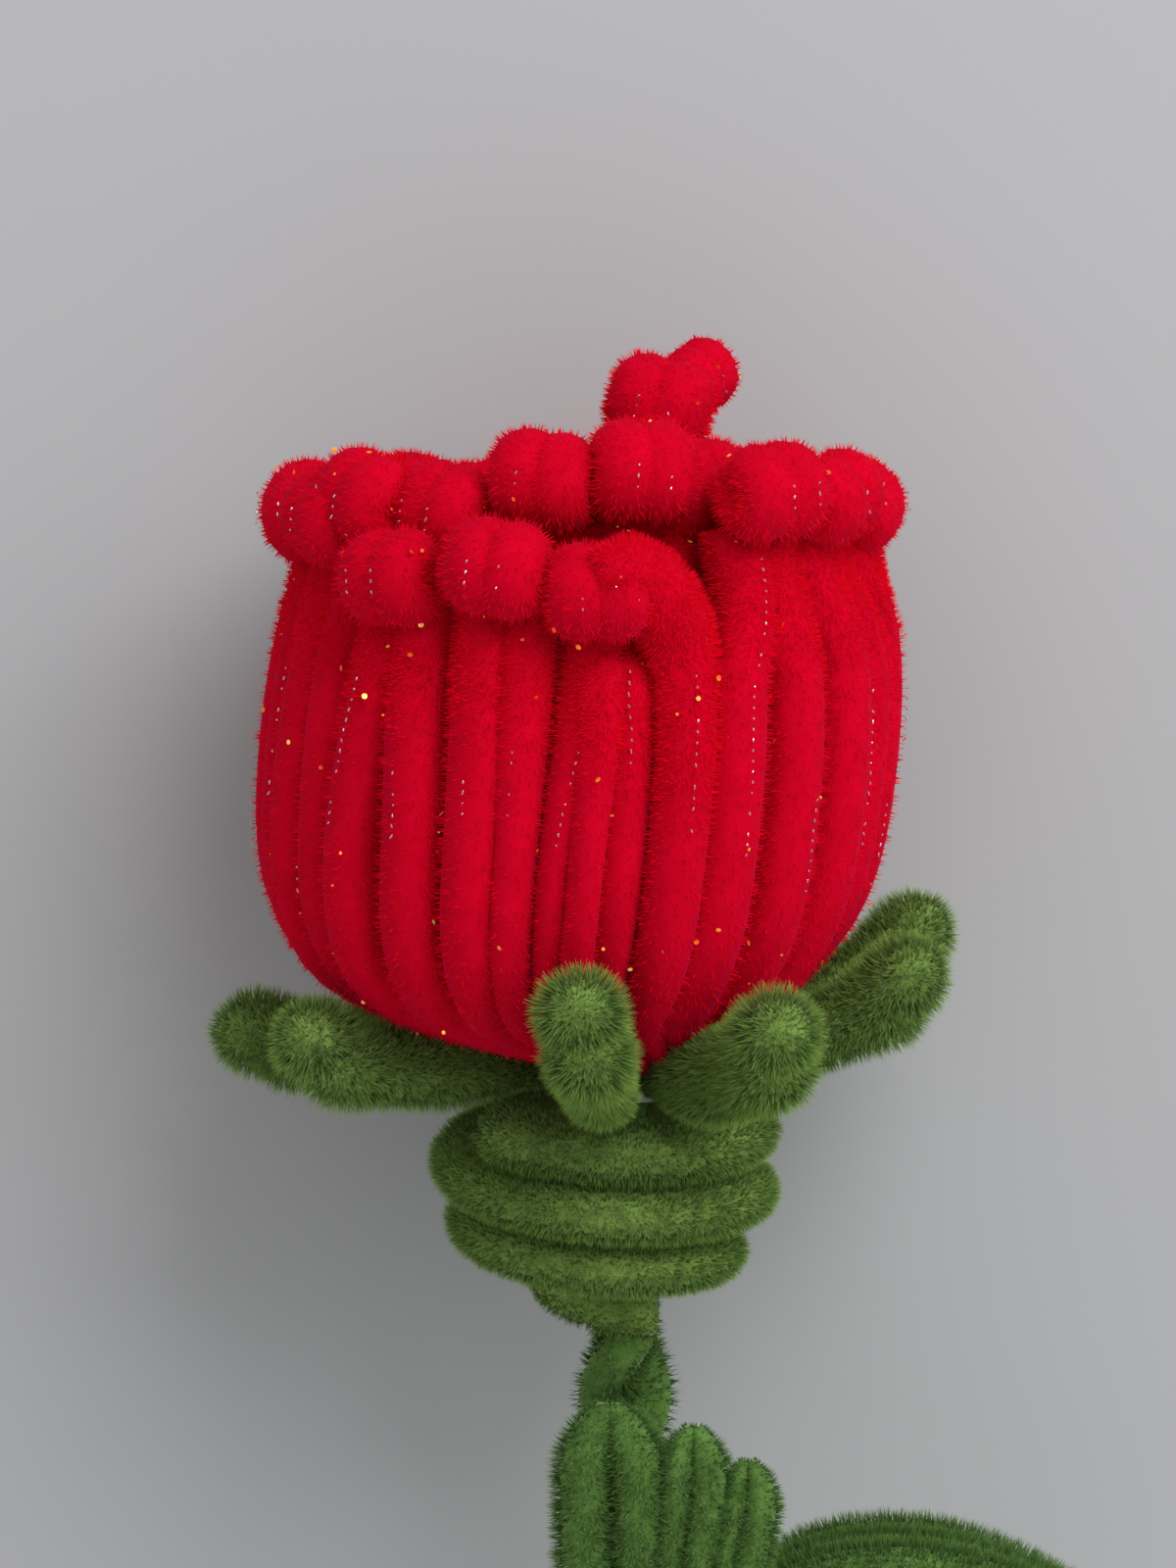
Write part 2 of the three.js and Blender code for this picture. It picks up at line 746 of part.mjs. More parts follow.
// Laid down: the rose rests on its two back sepals and on the rolled folds of its back petal, and its
// stem stays clear of the surface.
const onSepal = furthestBack("sepal_back_left");
const onFold = furthestBack("outer_petal_back");
const restTilt = Math.atan2(onFold.y - onSepal.y, onFold.z - onSepal.z);
rose.rotation.x = restTilt - Math.PI / 2;

// The origin is under the middle of the rose, on the surface that it lies on.
rose.updateMatrixWorld(true);
const bounds = new THREE.Box3().setFromObject(rose, true);
const middle = bounds.getCenter(new THREE.Vector3());
rose.position.set(-middle.x, -middle.y, -bounds.min.z);

const group = new THREE.Group();
group.add(rose);

export default group;
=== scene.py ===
"""A rose made of chenille stems, lying on its back: red stems folded into a fluted cup, and green
stems that make the sepals, the wound calyx, the twisted stem and the leaves.

Every stem is built in the flower's own frame, in millimetres: +Z runs along the flower's axis, the
flower's front is towards -Y and +X is to its right. Angles are in degrees, counted from the front to
the right. LAID_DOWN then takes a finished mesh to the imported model's frame, in metres.
"""

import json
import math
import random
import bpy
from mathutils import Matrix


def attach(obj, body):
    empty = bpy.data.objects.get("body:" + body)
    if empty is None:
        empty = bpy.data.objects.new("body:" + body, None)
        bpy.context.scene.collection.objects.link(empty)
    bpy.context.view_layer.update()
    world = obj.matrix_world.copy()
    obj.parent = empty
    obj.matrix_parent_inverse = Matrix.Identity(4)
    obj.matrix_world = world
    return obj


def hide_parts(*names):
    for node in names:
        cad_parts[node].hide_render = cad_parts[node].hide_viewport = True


bl_info = {
    "name": "Chenille Stem Rose",
    "version": (1, 0, 0),
    "blender": (4, 5, 0),
    "location": "View3D > Sidebar > Rose",
    "description": "Dresses a rose's solids with the pile, wire and glitter of chenille stems",
    "category": "Add Mesh",
}

from dataclasses import dataclass

import bpy
from bpy.props import FloatProperty, FloatVectorProperty, PointerProperty
from mathutils import Matrix, Vector

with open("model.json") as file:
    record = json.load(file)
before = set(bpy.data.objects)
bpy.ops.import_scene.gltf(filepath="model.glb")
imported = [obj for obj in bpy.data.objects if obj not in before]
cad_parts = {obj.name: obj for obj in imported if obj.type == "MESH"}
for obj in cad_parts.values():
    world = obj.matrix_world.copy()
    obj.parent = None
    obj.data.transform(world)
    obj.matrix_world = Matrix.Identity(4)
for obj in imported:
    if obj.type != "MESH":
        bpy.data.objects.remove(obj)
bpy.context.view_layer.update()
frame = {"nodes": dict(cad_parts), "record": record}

# ---------------------------------------------------------------- sizes, in millimetres and degrees

PIECE_GAP = 0.3

# The cup's face: its base, belly and rim, how the curve runs into each, how far the middle lies to the
# side at each height, and how much the pile is pressed near the base
CUP_BASE_RADIUS = 5.0
CUP_BASE_HEIGHT = -1.0
BELLY_RADIUS = 25.1
BELLY_HEIGHT = 24.0
RIM_RADIUS = 22.7
RIM_HEIGHT = 40.0
BOWL_RISE = 6.0
BOWL_SPREAD = 17.6
BELLY_DROP = 14.0
SHOULDER_RISE = 8.0
BASE_OFFSET = 1.5
BOWL_OFFSET = -3.7
RIM_OFFSET = -1.7
BOWL_OFFSET_HEIGHT = 6.0
BASE_PRESS = 0.45
PRESS_LENGTH = 16.0

# A rolled fold: its radius, how far its middle lies outside and above the rim, half the depth and
# width of its stem, how far its two legs stand to the sides, its rings, the angles between which it
# rolls, and the share of it that is its round end
FOLD_RADIUS = 4.3
FOLD_OUT = 2.3
FOLD_UP = 3.8
FOLD_HALF_DEPTH = 2.7
FOLD_HALF_WIDTH = 3.3
FOLD_SPREAD = 1.25
LEG_SPREAD = 1.5
FOLD_STEPS = 16
FOLD_ROLL = (205.0, -150.0)
FOLD_TIP = 0.15
# How far the feet of a petal's legs lie apart at most, in degrees, the rings' spacing along a leg,
# and how wide a leg is beside its neighbours
WIDEST_LEG_PITCH = 17.0
LEG_RING_SPACING = 2.4
LEG_WIDTH_SHARE = 0.64
# A leg sinks behind the cup's face between the first two lengths, and runs a little into its fold
SINK_LENGTHS = (8, 20)
FOLD_OVERLAP = 1.5
# How far below its top a leg's hidden sides start to have pile, and where the pile is full
OUTER_PILE_FROM = 14
INNER_PILE_FROM = 16
PILE_FULL_FROM = 6

# Where a leg ends: in a fold of the petal's list, in the front petal's inner turn below its folds, or
# in the arm that hooks over from the right into its last fold
INNER_U = -1
OVERARM = -2

# Outer petals: each leg's angle at the belly, how far it lies behind the cup's face, the lift of the
# rim, the share of the way up at which the legs start to lean towards their folds, and the rolled
# folds as angle, extra height and radius. ends pairs each leg with a fold.
OUTER_PETALS = {
    "outer_petal_front": {
        "legs": [-48.6, -33.4, -20.2, -12.1, -3.6, 2.2, 9.6, 20.0],
        "sink": [0.0, 0.0, 0.0, 0.5, 1.3, 0.3, 1.3, -0.2],
        "ends": [0, 0, 1, 1, 2, INNER_U, INNER_U, OVERARM],
        "lift": 0.0,
        "draw": 0.6,
        "folds": [(-41, -1.6, 4.3), (-18, 0.1, 4.3), (1.5, -1.4, 4.3)],
    },
    "outer_petal_right": {
        "legs": [31.0, 46.5, 62.0, 76.0, 88.0, 98.0, 106.0, 112.5],
        "sink": [0.0, 0.2, 0.0, 0.4, 0.0, 0.3, 0.0, 0.3],
        "ends": [0, 0, 1, 1, 2, 2, 3, 3],
        "lift": 4.0,
        "draw": 0.86,
        "folds": [(40, 1.0, 4.3), (60, -0.7, 4.0), (80, -3.1, 3.5), (102, -4.1, 3.6)],
    },
    "outer_petal_back": {
        "legs": [121.5, 134.0, 147.5, 160.0, 171.5, 184.0, 196.5, 209.5],
        "sink": [0.0, 0.3, 0.0, 0.5, 0.1, 0.0, 0.4, 0.0],
        "ends": [0, 0, 1, 1, 2, 2, 3, 3],
        "lift": -3.5,
        "draw": 0.6,
        "folds": [(130, -1.4, 4.3), (153, -0.3, 4.3), (177, -1.0, 4.3), (201, -1.5, 4.3)],
    },
    "outer_petal_left": {
        "legs": [221.5, 233.0, 244.0, 255.0, 267.0, 278.5, 290.0, 300.5],
        "sink": [0.2, 0.0, 0.4, 0.0, 0.0, 0.3, 0.0, 0.5],
        "ends": [0, 0, 1, 1, 2, 2, 3, 3],
        "lift": 3.0,
        "draw": 0.6,
        "folds": [(230, -7.0, 4.3), (251, -5.3, 4.3), (273, -3.0, 4.3), (295, -1.6, 4.3)],
    },
}
# Two more folds of the left petal, tucked in behind the front petal: angle, radius and height
TUCKED_FOLDS = [(304, 20.0, 46.0), (321, 17.0, 45.6)]
TUCKED_LEG_LENGTH = 7.0
# The front petal's inner turn: its top, its angle, and the angle from there to each of its legs
INNER_U_HEIGHT = 38.0
INNER_U_ANGLE = 5.0
INNER_U_SPREAD = 2.2
# The arm over the front petal's last fold: where its leg stops, then angles, radii and heights
OVERARM_ANGLE = 19.6
OVERARM_HEIGHT = 35.0
OVERARM_ROUTE = [
    (18.6, 20.9, 36.6),
    (17.2, 21.2, 38.4),
    (14.6, 21.6, 40.4),
    (10.8, 22.1, 42.2),
    (6.6, 23.0, 43.2),
    (3.0, 24.0, 42.8),
    (1.0, 24.6, 41.4),
]

# Inner petals, one stem's thickness further in: the span of angles, the number of legs, the lift of
# the rim, and the rolled folds as angle, radius, height and size
INNER_PETALS = {
    "inner_petal_front": {
        "span": (-24, 46),
        "legs": 6,
        "lift": 8.0,
        "folds": [(-13, 15.6, 48.5, 4.3), (14, 15.6, 49.2, 4.4), (39, 12.6, 46.6, 4.3)],
    },
    "inner_petal_right": {
        "span": (46, 190),
        "legs": 8,
        "lift": -3.0,
        "folds": [
            (64, 12.3, 39.5, 3.5),
            (100, 12.3, 38.5, 3.5),
            (136, 12.3, 39.5, 3.5),
            (172, 12.3, 39, 3.5),
        ],
    },
    "inner_petal_left": {
        "span": (190, 336),
        "legs": 8,
        "lift": -2.0,
        "folds": [
            (208, 12.3, 39, 3.5),
            (245, 12.3, 40.5, 3.5),
            (281, 12.3, 40, 3.5),
            (318, 12.3, 39.5, 3.5),
        ],
    },
}

# The bud: its front and back folds, how far its legs stand apart, its thin tail, and the share of a
# leg along which it swells to its full radius
BUD_TOP = (3.6, -1.0, 51.2)
BUD_BACK = (6.3, 3.5, 52.2)
BUD_TOP_RADIUS = 4.2
BUD_BACK_RADIUS = 3.3
BUD_SPREAD = 2.2
BUD_TAIL_RADIUS = 1.6
BUD_TAIL_HEIGHT = 1.5
BUD_FULL_HEIGHT = 16.0
BUD_SWELL = 0.3

# Each sepal's angle, the radius and height of its tip, and how steeply the tip rises
SEPALS = {
    "sepal_front": (-5, 26.5, 14.2, 80),
    "sepal_front_right": (28, 26.4, 11.6, 75),
    "sepal_right": (70, 23.5, 12.0, 80),
    "sepal_right_far": (108, 23.8, 11.3, 85),
    "sepal_back_right": (146, 27.0, 2.5, 35),
    "sepal_back_left": (214, 27.0, 2.5, 35),
    "sepal_left_far": (260, 31.0, -0.1, 15),
    "sepal_left_near": (299, 27.5, 6.9, 45),
}
SEPAL_ROOT_RADIUS = 5.4
SEPAL_ROOT_THICKNESS = 1.0
SEPAL_FULL_RADIUS = 15.0
# How far a sepal's upper and lower legs lie from its middle: sideways and upwards, and how much of
# the way to the tip each goes
SEPAL_LEGS = [(-0.1, 0.8, 1.0), (0.4, -1.4, 0.85)]
# How much thicker a sepal's end is, how steeply it and the part before it rise at most, how long its
# fibres are, and the share of the sepal that is its round tip
SEPAL_BALL = 1.16
SEPAL_END_CURL = 18.0
SEPAL_BEND_CURL = 45.0
SEPAL_END_PILE = 1.2
SEPAL_TIP_SHARE = 0.13

# The calyx: a stem wound round the base, from its first turn down to a waist and the stem's neck, with
# the rings along it and its core's share of its size
WRAP_OUTER_RADIUS = 14.0
WRAP_WAIST_RADIUS = 11.6
WRAP_HALF_HEIGHT = 2.3
WRAP_FLUFF = 0.5
WRAP_PITCH = 4.8
WRAP_FRONT_HEIGHT = -5.0
WRAP_STOPS = 130
WRAP_CORE = 0.72
WRAP_START_TURN = -0.13
WRAP_WAIST_SPAN = 0.9
WRAP_WAIST_TURN = 2.2
WRAP_END_TURN = 3.1
WRAP_END_THICKNESS = 1.1
WRAP_OFFSET = -0.6

# The stem's two strands, which thin to a neck under the calyx, with their core's share and their rings
GLUE_BOTTOM = -3.3
STEM_OFFSET = 1.0
STRAND_RADIUS = 1.95
STRAND_NECK_RADIUS = 1.05
STRAND_NECK_LENGTH = 3.0
STRAND_PRESS = 0.25
STRAND_CORE = 0.66
STRAND_STEPS = 90
TWIST_PITCH = 18.0
STEM_FOOT_HEIGHT = -113.0

# The leaves: rings round the stem, three fingers in front as tip and half width, and three at the
# right that rise, bend over and end, and the share of a finger that is its round tip
LEAF_THICKNESS = 3.2
LEAF_FRONT_RING = -68.0
LEAF_FINGERS = [((-0.2, -10.8, -25.0), 5.2), ((6.2, -10.2, -27.0), 3.9), ((10.4, -9.4, -30.0), 3.5)]
LEAF_RIGHT_RING = -52.0
LEAF_RIGHT_RISE = (10.0, -40.0)
LEAF_RIGHT_BEND = (28.0, -35.4)
LEAF_RIGHT_TIP = (47.0, -54.0)
LEAF_RIGHT_DEPTHS = [-1.2, 2.6, 6.4]
RING_HALF_HEIGHT = 1.9
RING_THICKNESS = 1.8
RING_RADIUS = 2 * STRAND_RADIUS + PIECE_GAP * 1.5 + RING_THICKNESS / 2
RING_STOPS = 28
FRONT_TIP_SHARE = 0.12
RIGHT_TIP_SHARE = 0.1

# The photograph: its size in pixels, a pixel's size on the flower, the flower's axis and the height
# that lie at its centre, and how far the camera looks down on the upright flower
PIXEL_SIZE = 0.075
PHOTO_HEIGHT = 1600
AXIS_PIXEL = 625
CENTRE_PIXEL = 600
CAMERA_TILT = 14.0
CENTRE_HEIGHT = 21.26

MILLIMETRE = 0.001
# Where the two lamps shine from, the second one's share of the power, how far off they are, and the
# floor's size in metres
KEY_FROM = Vector((0.5, -0.9, 1.1))
SIDE_FROM = Vector((1.0, -0.6, 0.5))
SIDE_SHARE = 0.4
LAMP_DISTANCE = 0.8
FLOOR_SIZE = 3.0

foot_mount = next(m for m in frame["record"]["mounts"] if m["name"] == "stem_foot")
rest_tilt = math.atan2(-foot_mount["axis"][2], -foot_mount["axis"][1])
FOOT = Vector((STEM_OFFSET, -(STRAND_RADIUS + PIECE_GAP / 2), STEM_FOOT_HEIGHT))
LAID_DOWN = (
    Matrix.Translation(foot_mount["pos_m"])
    @ Matrix.Rotation(rest_tilt - math.pi / 2, 4, "X")
    @ Matrix.Scale(MILLIMETRE, 4)
    @ Matrix.Translation(-FOOT)
)


# ---------------------------------------------------------------- settings shown in the sidebar


def colour(name, description, default):
    return FloatVectorProperty(
        name=name, description=description, subtype="COLOR", min=0, max=1, default=default
    )


def number(name, description, default, **kind):
    return FloatProperty(name=name, description=description, default=default, **kind)


class RosePile(bpy.types.PropertyGroup):
    red_radius: number("Red stem", "Radius of a red stem's pile", 0.003, unit="LENGTH")
    green_radius: number("Green stem", "Radius of a green stem's pile", 0.0037, unit="LENGTH")
    red_core: number("Red core", "Share of a red stem's radius that its fibres hide", 0.8)
    green_core: number("Green core", "Share of a green stem's radius that its fibres hide", 0.6)
    density: number("Fibres", "Fibres on a square millimetre of core", 24.0)
    fibre_width: number("Fibre width", "Width of a fibre at its root", 0.00011, unit="LENGTH")
    red_lean: number("Red lean", "How far a red fibre may lean", math.radians(12), subtype="ANGLE")
    green_lean: number("Green lean", "How far a green fibre may lean", math.radians(20), subtype="ANGLE")
    wire_pitch: number("Wire pitch", "Length of one twist of the wire", 0.00079, unit="LENGTH")
    flake_size: number("Flake size", "Width of a flake of glitter", 0.0004, unit="LENGTH")
    flake_density: number("Flakes", "Flakes of glitter on a square metre of pile", 1.6e4)


class RoseColours(bpy.types.PropertyGroup):
    # Painted shade: the root colours are darker than the tips to stand in for the shade deep down in the
    # pile
    red_root_shade: colour("Red root", "Red fibres where they start", (0.38, 0.0, 0.008))
    red_tip: colour("Red tip", "Red fibres at their ends", (0.58, 0.0, 0.018))
    green_root_shade: colour("Green root", "Green fibres where they start", (0.01, 0.03, 0.006))
    green_tip: colour("Green tip", "Green fibres at their ends", (0.25, 0.4, 0.085))
    # Painted shade: the leaves and the stem's strands are the same green stems as the sepals, given this
    # darker tip colour for the shade of their pile seen from the side
    shaded_leaf_tip: colour("Leaf tip", "The leaves' fibres at their ends", (0.13, 0.26, 0.055))
    glue: colour("Glue", "Set hot glue", (0.62, 0.6, 0.7))
    wire: colour("Wire", "Bare wire", (0.5, 0.4, 0.48))
    floor: colour("Floor", "The surface that the rose lies on", (0.375, 0.379, 0.389))


class RoseStage(bpy.types.PropertyGroup):
    distance: number("Distance", "From the camera to the flower", 0.9, unit="LENGTH")
    key_power: number("Key light", "Power of the key light", 4.45, unit="POWER")
    fill: number("Fill", "Strength of the light from all round", 0.7)


# ---------------------------------------------------------------- node trees


class Wire:
    """One output of a node. Arithmetic on it adds Math nodes to its tree."""

    def __init__(self, graph, socket):
        self.graph = graph
        self.socket = socket

    def output(self, name):
        return Wire(self.graph, self.socket.node.outputs[name])

    def maths(self, operation, *values):
        return self.graph.node("ShaderNodeMath", {"operation": operation}, dict(enumerate(values)))

    def __add__(self, other):
        return self.maths("ADD", self, other)

    def __sub__(self, other):
        return self.maths("SUBTRACT", self, other)

    def __rsub__(self, other):
        return self.maths("SUBTRACT", other, self)

    def __mul__(self, other):
        return self.maths("MULTIPLY", self, other)

    def __truediv__(self, other):
        return self.maths("DIVIDE", self, other)

    def __rtruediv__(self, other):
        return self.maths("DIVIDE", other, self)

    def __pow__(self, other):
        return self.maths("POWER", self, other)

    def __rpow__(self, other):
        return self.maths("POWER", other, self)

    __radd__ = __add__
    __rmul__ = __mul__


class Graph:
    """A node tree under construction."""

    def __init__(self, tree):
        self.tree = tree

    def node(self, kind, settings=None, values=None):
        """Adds a node, sets it up, and gives its first output. Values are numbers, IDs or wires."""
        made = self.tree.nodes.new(kind)
        for name, value in (settings or {}).items():
            if name == "stops":
                self.set_stops(made.color_ramp, value)
            else:
                setattr(made, name, value)
        self.feed(made, values or {})
        return Wire(self, made.outputs[0]) if made.outputs else made

    def feed(self, node, values):
        """Sets a node's inputs."""
        for name, value in values.items():
            socket = node.inputs[name]
            if isinstance(value, Wire):
                self.tree.links.new(value.socket, socket)
            else:
                socket.default_value = value

    def set_stops(self, ramp, stops):
        while len(ramp.elements) < len(stops):
            ramp.elements.new(1.0)
        for element, (place, shade) in zip(ramp.elements, stops):
            element.position = place
            element.color = (*shade, 1.0)

    def blend(self, factor, first, second):
        """A colour between two colours."""
        settings = {"data_type": "RGBA"}
        made = self.node("ShaderNodeMix", settings, {0: factor, 6: first, 7: second})
        return made.output(2)

    def noise(self, scale, detail, **more):
        """An even mottling of the given fineness over a piece."""
        place = self.node("ShaderNodeTexCoord").output("Object")
        values = {"Vector": place, "Scale": scale, "Detail": detail, **more}
        return self.node("ShaderNodeTexNoise", None, values)

    def vector(self, x, y, z=0.0):
        return self.node("ShaderNodeCombineXYZ", None, {"X": x, "Y": y, "Z": z})

    def chance(self, seed, low, high):
        """A random number, or a random vector where low and high are vectors."""
        settings = {"data_type": "FLOAT_VECTOR" if isinstance(low, tuple) else "FLOAT"}
        first = 0 if isinstance(low, tuple) else 2
        made = self.node("FunctionNodeRandomValue", settings, {first: low, first + 1: high, "Seed": seed})
        return made.output(first // 2)

    def attribute(self, name, kind="FLOAT"):
        return self.node("GeometryNodeInputNamedAttribute", {"data_type": kind}, {"Name": name})

    def store(self, mesh, name, value, kind="FLOAT", domain="POINT"):
        settings = {"data_type": kind, "domain": domain}
        values = {"Geometry": mesh, "Name": name, "Value": value}
        return self.node("GeometryNodeStoreNamedAttribute", settings, values)

    def drop(self, mesh, *names):
        for name in names:
            mesh = self.node("GeometryNodeRemoveAttribute", None, {"Geometry": mesh, "Name": name})
        return mesh

    def scatter(self, mesh, density, seed):
        values = {"Mesh": mesh, "Density": density, "Seed": seed}
        return self.node("GeometryNodeDistributePointsOnFaces", None, values)

    def turned(self, rotation, lean):
        """A rotation with a lean of its own, given as angles about three axes."""
        lean = self.node("FunctionNodeEulerToRotation", None, {0: lean})
        settings = {"rotation_space": "LOCAL"}
        return self.node("FunctionNodeRotateRotation", settings, {0: rotation, 1: lean})

    def copies(self, points, instance, rotation, scale, **more):
        values = {"Points": points, "Instance": instance, "Rotation": rotation, "Scale": scale, **more}
        return self.node("GeometryNodeInstanceOnPoints", None, values)

    def realized(self, instances):
        return self.node("GeometryNodeRealizeInstances", None, {"Geometry": instances})

    def painted(self, mesh, material):
        return self.node("GeometryNodeSetMaterial", None, {"Geometry": mesh, "Material": material})


def opaque(shade, strength=1.0):
    return (*(min(1.0, part * strength) for part in shade), 1.0)


def new_tree(name, inputs):
    """A geometry tree with a mesh going in and out, and named inputs as (name, type, default)."""
    tree = bpy.data.node_groups.new(name, "GeometryNodeTree")
    tree.interface.new_socket("Mesh", in_out="INPUT", socket_type="NodeSocketGeometry")
    tree.interface.new_socket("Mesh", in_out="OUTPUT", socket_type="NodeSocketGeometry")
    for label, kind, default in inputs:
        socket = tree.interface.new_socket(label, in_out="INPUT", socket_type="NodeSocket" + kind)
        if default is not None:
            socket.default_value = default
    graph = Graph(tree)
    return graph, graph.node("NodeGroupInput")


# How bright the edges of the pile are: the weight and the tint of the sheen
RED_SHEEN = (0.25, (1.0, 0.02, 0.2))
GREEN_SHEEN = (0.7, (0.75, 1.0, 0.45))

# Where a fibre's colours lie on the bake map: from its root at 0 to its tip here
FIBRE_MAP = 0.08
CORE_MAP = 0.1
BAKE_MAP = "OFBake"


def pile_tree():
    """Fibres that stand on a stem's core. The core's own attributes say how long they are and how
    densely they stand."""
    inputs = [("Density", "Float", 20e6), ("Fibre width", "Float", 0.00012), ("Lean", "Float", 0.4)]
    inputs += [("Seed", "Int", 1), ("Fibres", "Material", None), ("Core", "Material", None)]
    graph, given = new_tree("Chenille pile", inputs)
    seed = given.output("Seed")

    triangle = graph.node("GeometryNodeMeshCircle", {"fill_type": "NGON"}, {"Vertices": 3})
    upright = {"Rotation": (0, -math.pi / 2, 0), "Translation": (0, 0, 1 / 3)}
    scale = (2 / 3, 1 / math.sqrt(3), 1)
    blade = graph.node("GeometryNodeTransform", None, {"Geometry": triangle, "Scale": scale, **upright})
    parts = graph.node("ShaderNodeSeparateXYZ", None, {0: graph.node("GeometryNodeInputPosition")})
    blade = graph.store(blade, "along", parts.output("Z"))
    blade = graph.store(blade, "side", parts.output("Y"))

    core = graph.store(given.output("Mesh"), "facing", graph.node("GeometryNodeInputNormal"), "FLOAT_VECTOR")
    points = graph.scatter(core, given.output("Density") * graph.attribute("cover"), seed)
    lean_x = given.output("Lean") * graph.chance(seed + 1, -1, 1)
    lean_y = given.output("Lean") * graph.chance(seed + 2, -1, 1)
    lean = graph.vector(lean_x, lean_y, graph.chance(seed + 3, 0, 2 * math.pi))
    length = graph.attribute("pile") * graph.chance(seed + 4, 0.8, 1.15)
    width = given.output("Fibre width") * graph.chance(seed + 5, 0.7, 1.3)
    turned = graph.turned(points.output("Rotation"), lean)
    fibres = graph.copies(points, blade, turned, graph.vector(width, width, length))
    fibres = graph.store(fibres, "tone", graph.chance(seed + 6, 0, 1), domain="INSTANCE")
    fibres = graph.store(fibres, "facing", points.output("Normal"), "FLOAT_VECTOR", "INSTANCE")
    fibres = graph.realized(fibres)

    along = graph.attribute("along") * FIBRE_MAP
    tone = graph.attribute("tone") * 0.99 + graph.attribute("side") * 0.002 + 0.005
    fibres = graph.store(fibres, BAKE_MAP, graph.vector(along, tone), "FLOAT2", "CORNER")
    fibres = graph.painted(graph.drop(fibres, "along", "side", "tone"), given.output("Fibres"))
    whole = graph.node("GeometryNodeJoinGeometry", None, {0: fibres})
    core = graph.painted(core, given.output("Core"))
    graph.feed(whole.socket.node, {0: core})
    facing = graph.attribute("facing", "FLOAT_VECTOR")
    settings = {"mode": "FREE", "domain": "POINT"}
    whole = graph.node("GeometryNodeSetMeshNormal", settings, {"Mesh": whole, "Custom Normal": facing})
    graph.node("NodeGroupOutput", None, {0: graph.drop(whole, "facing", "pile", "cover")})
    return graph.tree


def twist_tree():
    """The bright bits of a twisted wire, one for each twist, along a path of edges."""
    inputs = [("Pitch", "Float", 0.0008), ("Length", "Float", 0.0004), ("Width", "Float", 0.00016)]
    inputs += [("Seed", "Int", 1), ("Metal", "Material", None)]
    graph, given = new_tree("Wire twists", inputs)
    seed, width = given.output("Seed"), given.output("Width")

    path = graph.node("GeometryNodeMeshToCurve", None, {"Mesh": given.output("Mesh")})
    values = {"Curve": path, "Length": given.output("Pitch")}
    path = graph.node("GeometryNodeResampleCurve", {"mode": "LENGTH"}, values)
    bit = graph.node("GeometryNodeMeshUVSphere", None, {"Segments": 6, "Rings": 4, "Radius": 0.5})
    tangent = graph.node("GeometryNodeInputTangent")
    along = graph.node("FunctionNodeAlignRotationToVector", {"axis": "Z"}, {"Vector": tangent})
    slant = graph.vector(graph.chance(seed + 1, -0.5, 0.5), graph.chance(seed + 2, -0.5, 0.5))
    breadth = width * graph.chance(seed + 3, 0.6, 1.1)
    length = given.output("Length") * graph.chance(seed + 4, 0.4, 1.1)
    values = {0: graph.chance(seed + 5, 0, 1), 1: 0.3}
    shown = graph.node("FunctionNodeCompare", {"operation": "GREATER_THAN"}, values)
    size = graph.vector(width, breadth, length)
    bits = graph.copies(path, bit, graph.turned(along, slant), size, Selection=shown)
    bits = graph.painted(graph.realized(bits), given.output("Metal"))
    graph.node("NodeGroupOutput", None, {0: bits})
    return graph.tree


def flake_tree():
    """Glitter flakes strewn over the pile's surface."""
    inputs = [("Density", "Float", 2e4), ("Size", "Float", 0.0004)]
    inputs += [("Seed", "Int", 1), ("Foil", "Material", None)]
    graph, given = new_tree("Glitter flakes", inputs)
    seed = given.output("Seed")

    points = graph.scatter(given.output("Mesh"), given.output("Density"), seed)
    flake = graph.node("GeometryNodeMeshCircle", {"fill_type": "NGON"}, {"Vertices": 6, "Radius": 0.5})
    lean = graph.chance(seed + 1, (-0.9, -0.9, 0.0), (0.9, 0.9, 6.28))
    size = given.output("Size") * graph.chance(seed + 2, 0.5, 1.2)
    flakes = graph.copies(points, flake, graph.turned(points.output("Rotation"), lean), size)
    flakes = graph.painted(graph.realized(flakes), given.output("Foil"))
    graph.node("NodeGroupOutput", None, {0: flakes})
    return graph.tree


def with_tree(mesh, tree, **values):
    """The plain mesh that a geometry tree makes from a mesh."""
    carrier = bpy.data.objects.new(tree.name, mesh)
    bpy.context.scene.collection.objects.link(carrier)
    modifier = carrier.modifiers.new(tree.name, "NODES")
    modifier.node_group = tree
    named = {item.name: item.identifier for item in tree.interface.items_tree if item.in_out == "INPUT"}
    for name, value in values.items():
        modifier[named[name.replace("_", " ")]] = value
    depsgraph = bpy.context.evaluated_depsgraph_get()
    plain = bpy.data.meshes.new_from_object(carrier.evaluated_get(depsgraph), depsgraph=depsgraph)
    carrier.modifiers.clear()
    bpy.data.objects.remove(carrier)
    return plain


# ---------------------------------------------------------------- materials


def new_material(name):
    material = bpy.data.materials.new(name)
    material.use_nodes = True
    return material, Graph(material.node_tree), material.node_tree.nodes["Principled BSDF"]


def sheen(look):
    """The shader's inputs for a weight and a tint of sheen."""
    weight, tint = look
    return {"Sheen Weight": weight, "Sheen Roughness": 0.35, "Sheen Tint": opaque(tint)}


